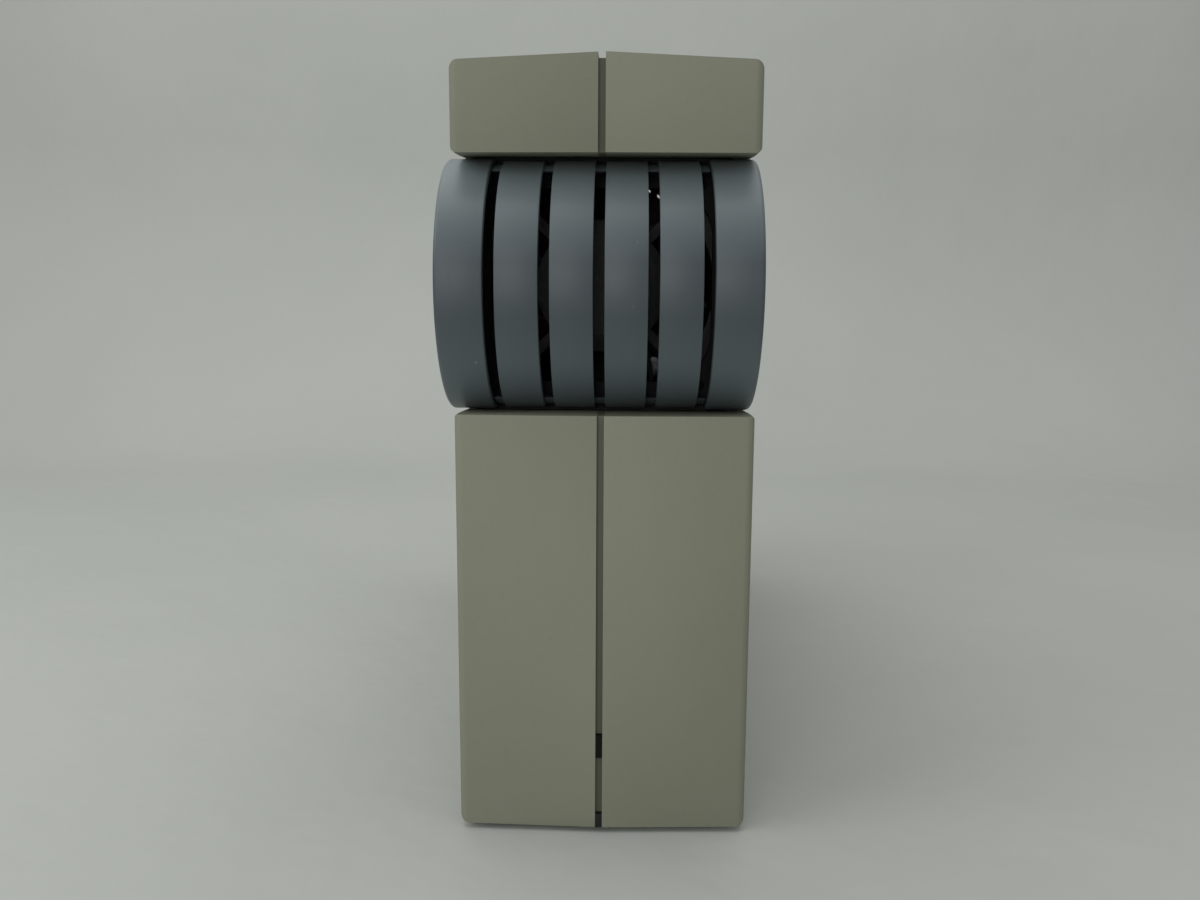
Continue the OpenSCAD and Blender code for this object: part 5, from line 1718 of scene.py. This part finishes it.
@dataclass
class Studio:
    """Plain pale floor and backdrop, soft light and the camera of the photograph."""

    lens: float = 31.65
    sensor: float = 36.0
    clip: float = 0.01
    camera_at: tuple[float, float, float] = (5.6, -363.0, 135.4)
    yaw: float = 1.22
    pitch: float = 9.10
    roll: float = 0.28
    backdrop_y: float = 620.0
    width: float = 2600.0
    front_y: float = -900.0
    bend: float = 260.0
    bend_steps: int = 14
    bend_near: float = 1.0
    height: float = 1300.0
    room: float = 0.46
    lamps: tuple[Lamp, ...] = (
        Lamp("overhead", (-60.0, 120.0, 950.0), (0.0, 0.0, 60.0), 900.0, 3.4),
        Lamp("window", (-700.0, -350.0, 620.0), (0.0, -60.0, 100.0), 600.0, 1.8),
        Lamp("front", (-260.0, -1050.0, 330.0), (0.0, -60.0, 130.0), 600.0, 2.6))

    def aim(self) -> Matrix:
        """Works out the camera's turn from its yaw, pitch and roll.

        Returns:
            The turn as a matrix.
        """
        yaw, pitch, roll = (math.radians(v) for v in (self.yaw, self.pitch, self.roll))
        ahead = Vector((-math.sin(yaw) * math.cos(pitch), math.cos(yaw) * math.cos(pitch),
                        -math.sin(pitch)))
        right = Vector((math.cos(yaw), math.sin(yaw), 0.0))
        up = right.cross(ahead)
        turned = math.cos(roll) * right + math.sin(roll) * up
        return Matrix((turned, turned.cross(ahead), -ahead)).transposed().to_4x4()

    def add_camera(self) -> None:
        """Adds the camera and makes it the scene's."""
        data = bpy.data.cameras.new("photo_camera")
        data.sensor_width = self.sensor
        data.lens = self.lens
        data.clip_start = self.clip
        camera = bpy.data.objects.new("photo_camera", data)
        bpy.context.scene.collection.objects.link(camera)
        camera.matrix_world = Matrix.Translation(Vector(self.camera_at) * MM) @ self.aim()
        bpy.context.scene.camera = camera

    def add_sweep(self, finish: bpy.types.Material) -> None:
        """Adds the cloth, which runs from the floor up into the backdrop on a bend.

        Args:
            finish: The cloth's material.
        """
        Bench.clear()
        bpy.ops.mesh.primitive_plane_add(size=1.0)
        sweep = bpy.context.object
        sweep.name = "backdrop_sweep"
        bpy.ops.object.mode_set(mode="EDIT")
        bpy.ops.mesh.select_all(action="SELECT")
        edge_y = self.backdrop_y - self.bend
        depth = edge_y - self.front_y
        bpy.ops.transform.resize(value=(self.width * MM, depth * MM, 1.0))
        bpy.ops.transform.translate(value=(0.0, (self.front_y + edge_y) / 2 * MM, 0.0))
        bpy.ops.object.mode_set(mode="OBJECT")
        Bench.settle(sweep)
        Bench.edges(sweep, lambda middle, angle: abs(middle.y - edge_y) < self.bend_near)
        for step in range(self.bend_steps):
            before, after = (math.pi / 2 * k / self.bend_steps for k in (step, step + 1))
            move = (0.0, self.bend * MM * (math.sin(after) - math.sin(before)),
                    self.bend * MM * (math.cos(before) - math.cos(after)))
            bpy.ops.mesh.extrude_edges_move(TRANSFORM_OT_translate={"value": move})
        rise = (0.0, 0.0, self.height * MM)
        bpy.ops.mesh.extrude_edges_move(TRANSFORM_OT_translate={"value": rise})
        bpy.ops.object.mode_set(mode="OBJECT")
        sweep.data.materials.append(finish)
        bpy.ops.object.shade_smooth()

    def add_world(self) -> None:
        """Adds the even light of the room."""
        world = bpy.data.worlds.new("room")
        world.use_nodes = True
        back = world.node_tree.nodes["Background"]
        back.inputs["Color"].default_value = (1.0, 1.0, 1.0, 1.0)
        back.inputs["Strength"].default_value = self.room
        bpy.context.scene.world = world

    def build(self, cloth: bpy.types.Material) -> None:
        """Sets up the whole studio.

        Args:
            cloth: The backdrop's material.
        """
        self.add_camera()
        self.add_sweep(cloth)
        for lamp in self.lamps:
            lamp.add()
        self.add_world()
        bpy.context.scene.view_settings.view_transform = "Standard"


def main() -> None:
    """Builds the studio and every sub-assembly in order."""
    logging.basicConfig(level=logging.INFO, format="%(message)s")
    parts = Parts()
    Studio().build(Cloth().make())
    case = MouldedCase().make()
    trim = MouldedTrim().make()
    black = Plastic("plastic_black", (30, 31, 33)).make()
    rotor = Plastic("rotor_plastic", (38, 39, 40)).make()
    nylon = Plastic("nylon_white", (214, 210, 196), 0.4).make()
    keys = Plastic("key_grey", (72, 74, 78), 0.5).make()
    sleeve = Plastic("capacitor_sleeve", (28, 36, 74), 0.3).make()
    amber = Plastic("lead_amber", (190, 150, 40), 0.4).make()
    red = Plastic("lead_red", (150, 32, 30), 0.4).make()
    core = Plastic("core_ferrite", (58, 54, 52), 0.6).make()
    zinc = SpangledSheet().make()
    cast = Metal("cast_aluminium", (158, 160, 163), 0.42, scale=1600.0, depth=0.00005).make()
    steel = Metal("bright_steel", (186, 188, 190), 0.2, (1.0, 1.0, 0.1)).make()
    disc = Metal("polished_disc", (205, 206, 210), 0.06, depth=0.000004, patches=0.02).make()
    blade = Metal("blade_plated", (200, 196, 182), 0.22).make()
    rubber = Rubber().make()
    copper = Winding("copper_winding", "Z").make()
    CaseShells().build(parts, case)
    LouvreBand().build(parts, trim)
    parts.dress(SmokedLens().make(), "light_pipe")
    parts.dress(TintedLamp().make(), "light_lamp")
    parts.dress(CircuitBoard(("X", "Z")).make(), "light_board")
    parts.dress(CircuitBoard().make(), "drive_board")
    parts.dress(CircuitBoard(("X", "Y")).make(), "psu_board")
    dark_screw = Metal("dark_screw", (30, 31, 33), 0.5).make()
    label = Plastic("label_paper", (44, 45, 46), 0.5).make()
    marks = Plastic("mark_white", (222, 222, 216), 0.5).make()
    CoolingFan().build(parts, black, rotor, dark_screw, label)
    RearPorts().build(parts, steel, black, blade)
    RearControls().build(parts, black, keys, nylon, marks)
    Underside().build(parts, rubber)
    wiring = Wiring()
    wiring.drive_lead(parts, (red, black, black, amber), nylon)
    wiring.fan_wires(parts, (red, black))
    wiring.light_wire(parts, red)
    parts.dress(black, "drive_header")
    parts.dress(copper, "fan_motor", "psu_choke")
    parts.dress(core, "psu_transformer")
    parts.dress(zinc, "chassis", "chassis_screws", "panel_screws", "drive_cover", "magnet_yokes")
    parts.dress(cast, "drive_base", "spindle_hub", "platter_spacers", "actuator_arm",
                "psu_heat_sinks")
    parts.dress(steel, "drive_screws", "actuator_pivot", "psu_standoffs")
    parts.dress(disc, "platters")
    parts.dress(Rubber("gasket_rubber").make(), "drive_gasket")
    parts.dress(nylon, "drive_power_socket", "psu_terminals", "selector_wheel", "termination_slider")
    parts.dress(sleeve, "psu_capacitors")
    parts.dress(Ribbon(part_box("port_ribbon")[0].z).make(), "port_ribbon")
    parts.dress(PaintedPanel().make(), "rear_panel")
    parts.dress(blade, "inlet_blades")
    LOG.info("%d pieces booked", parts.count)


if __name__ == "__main__":
    main()
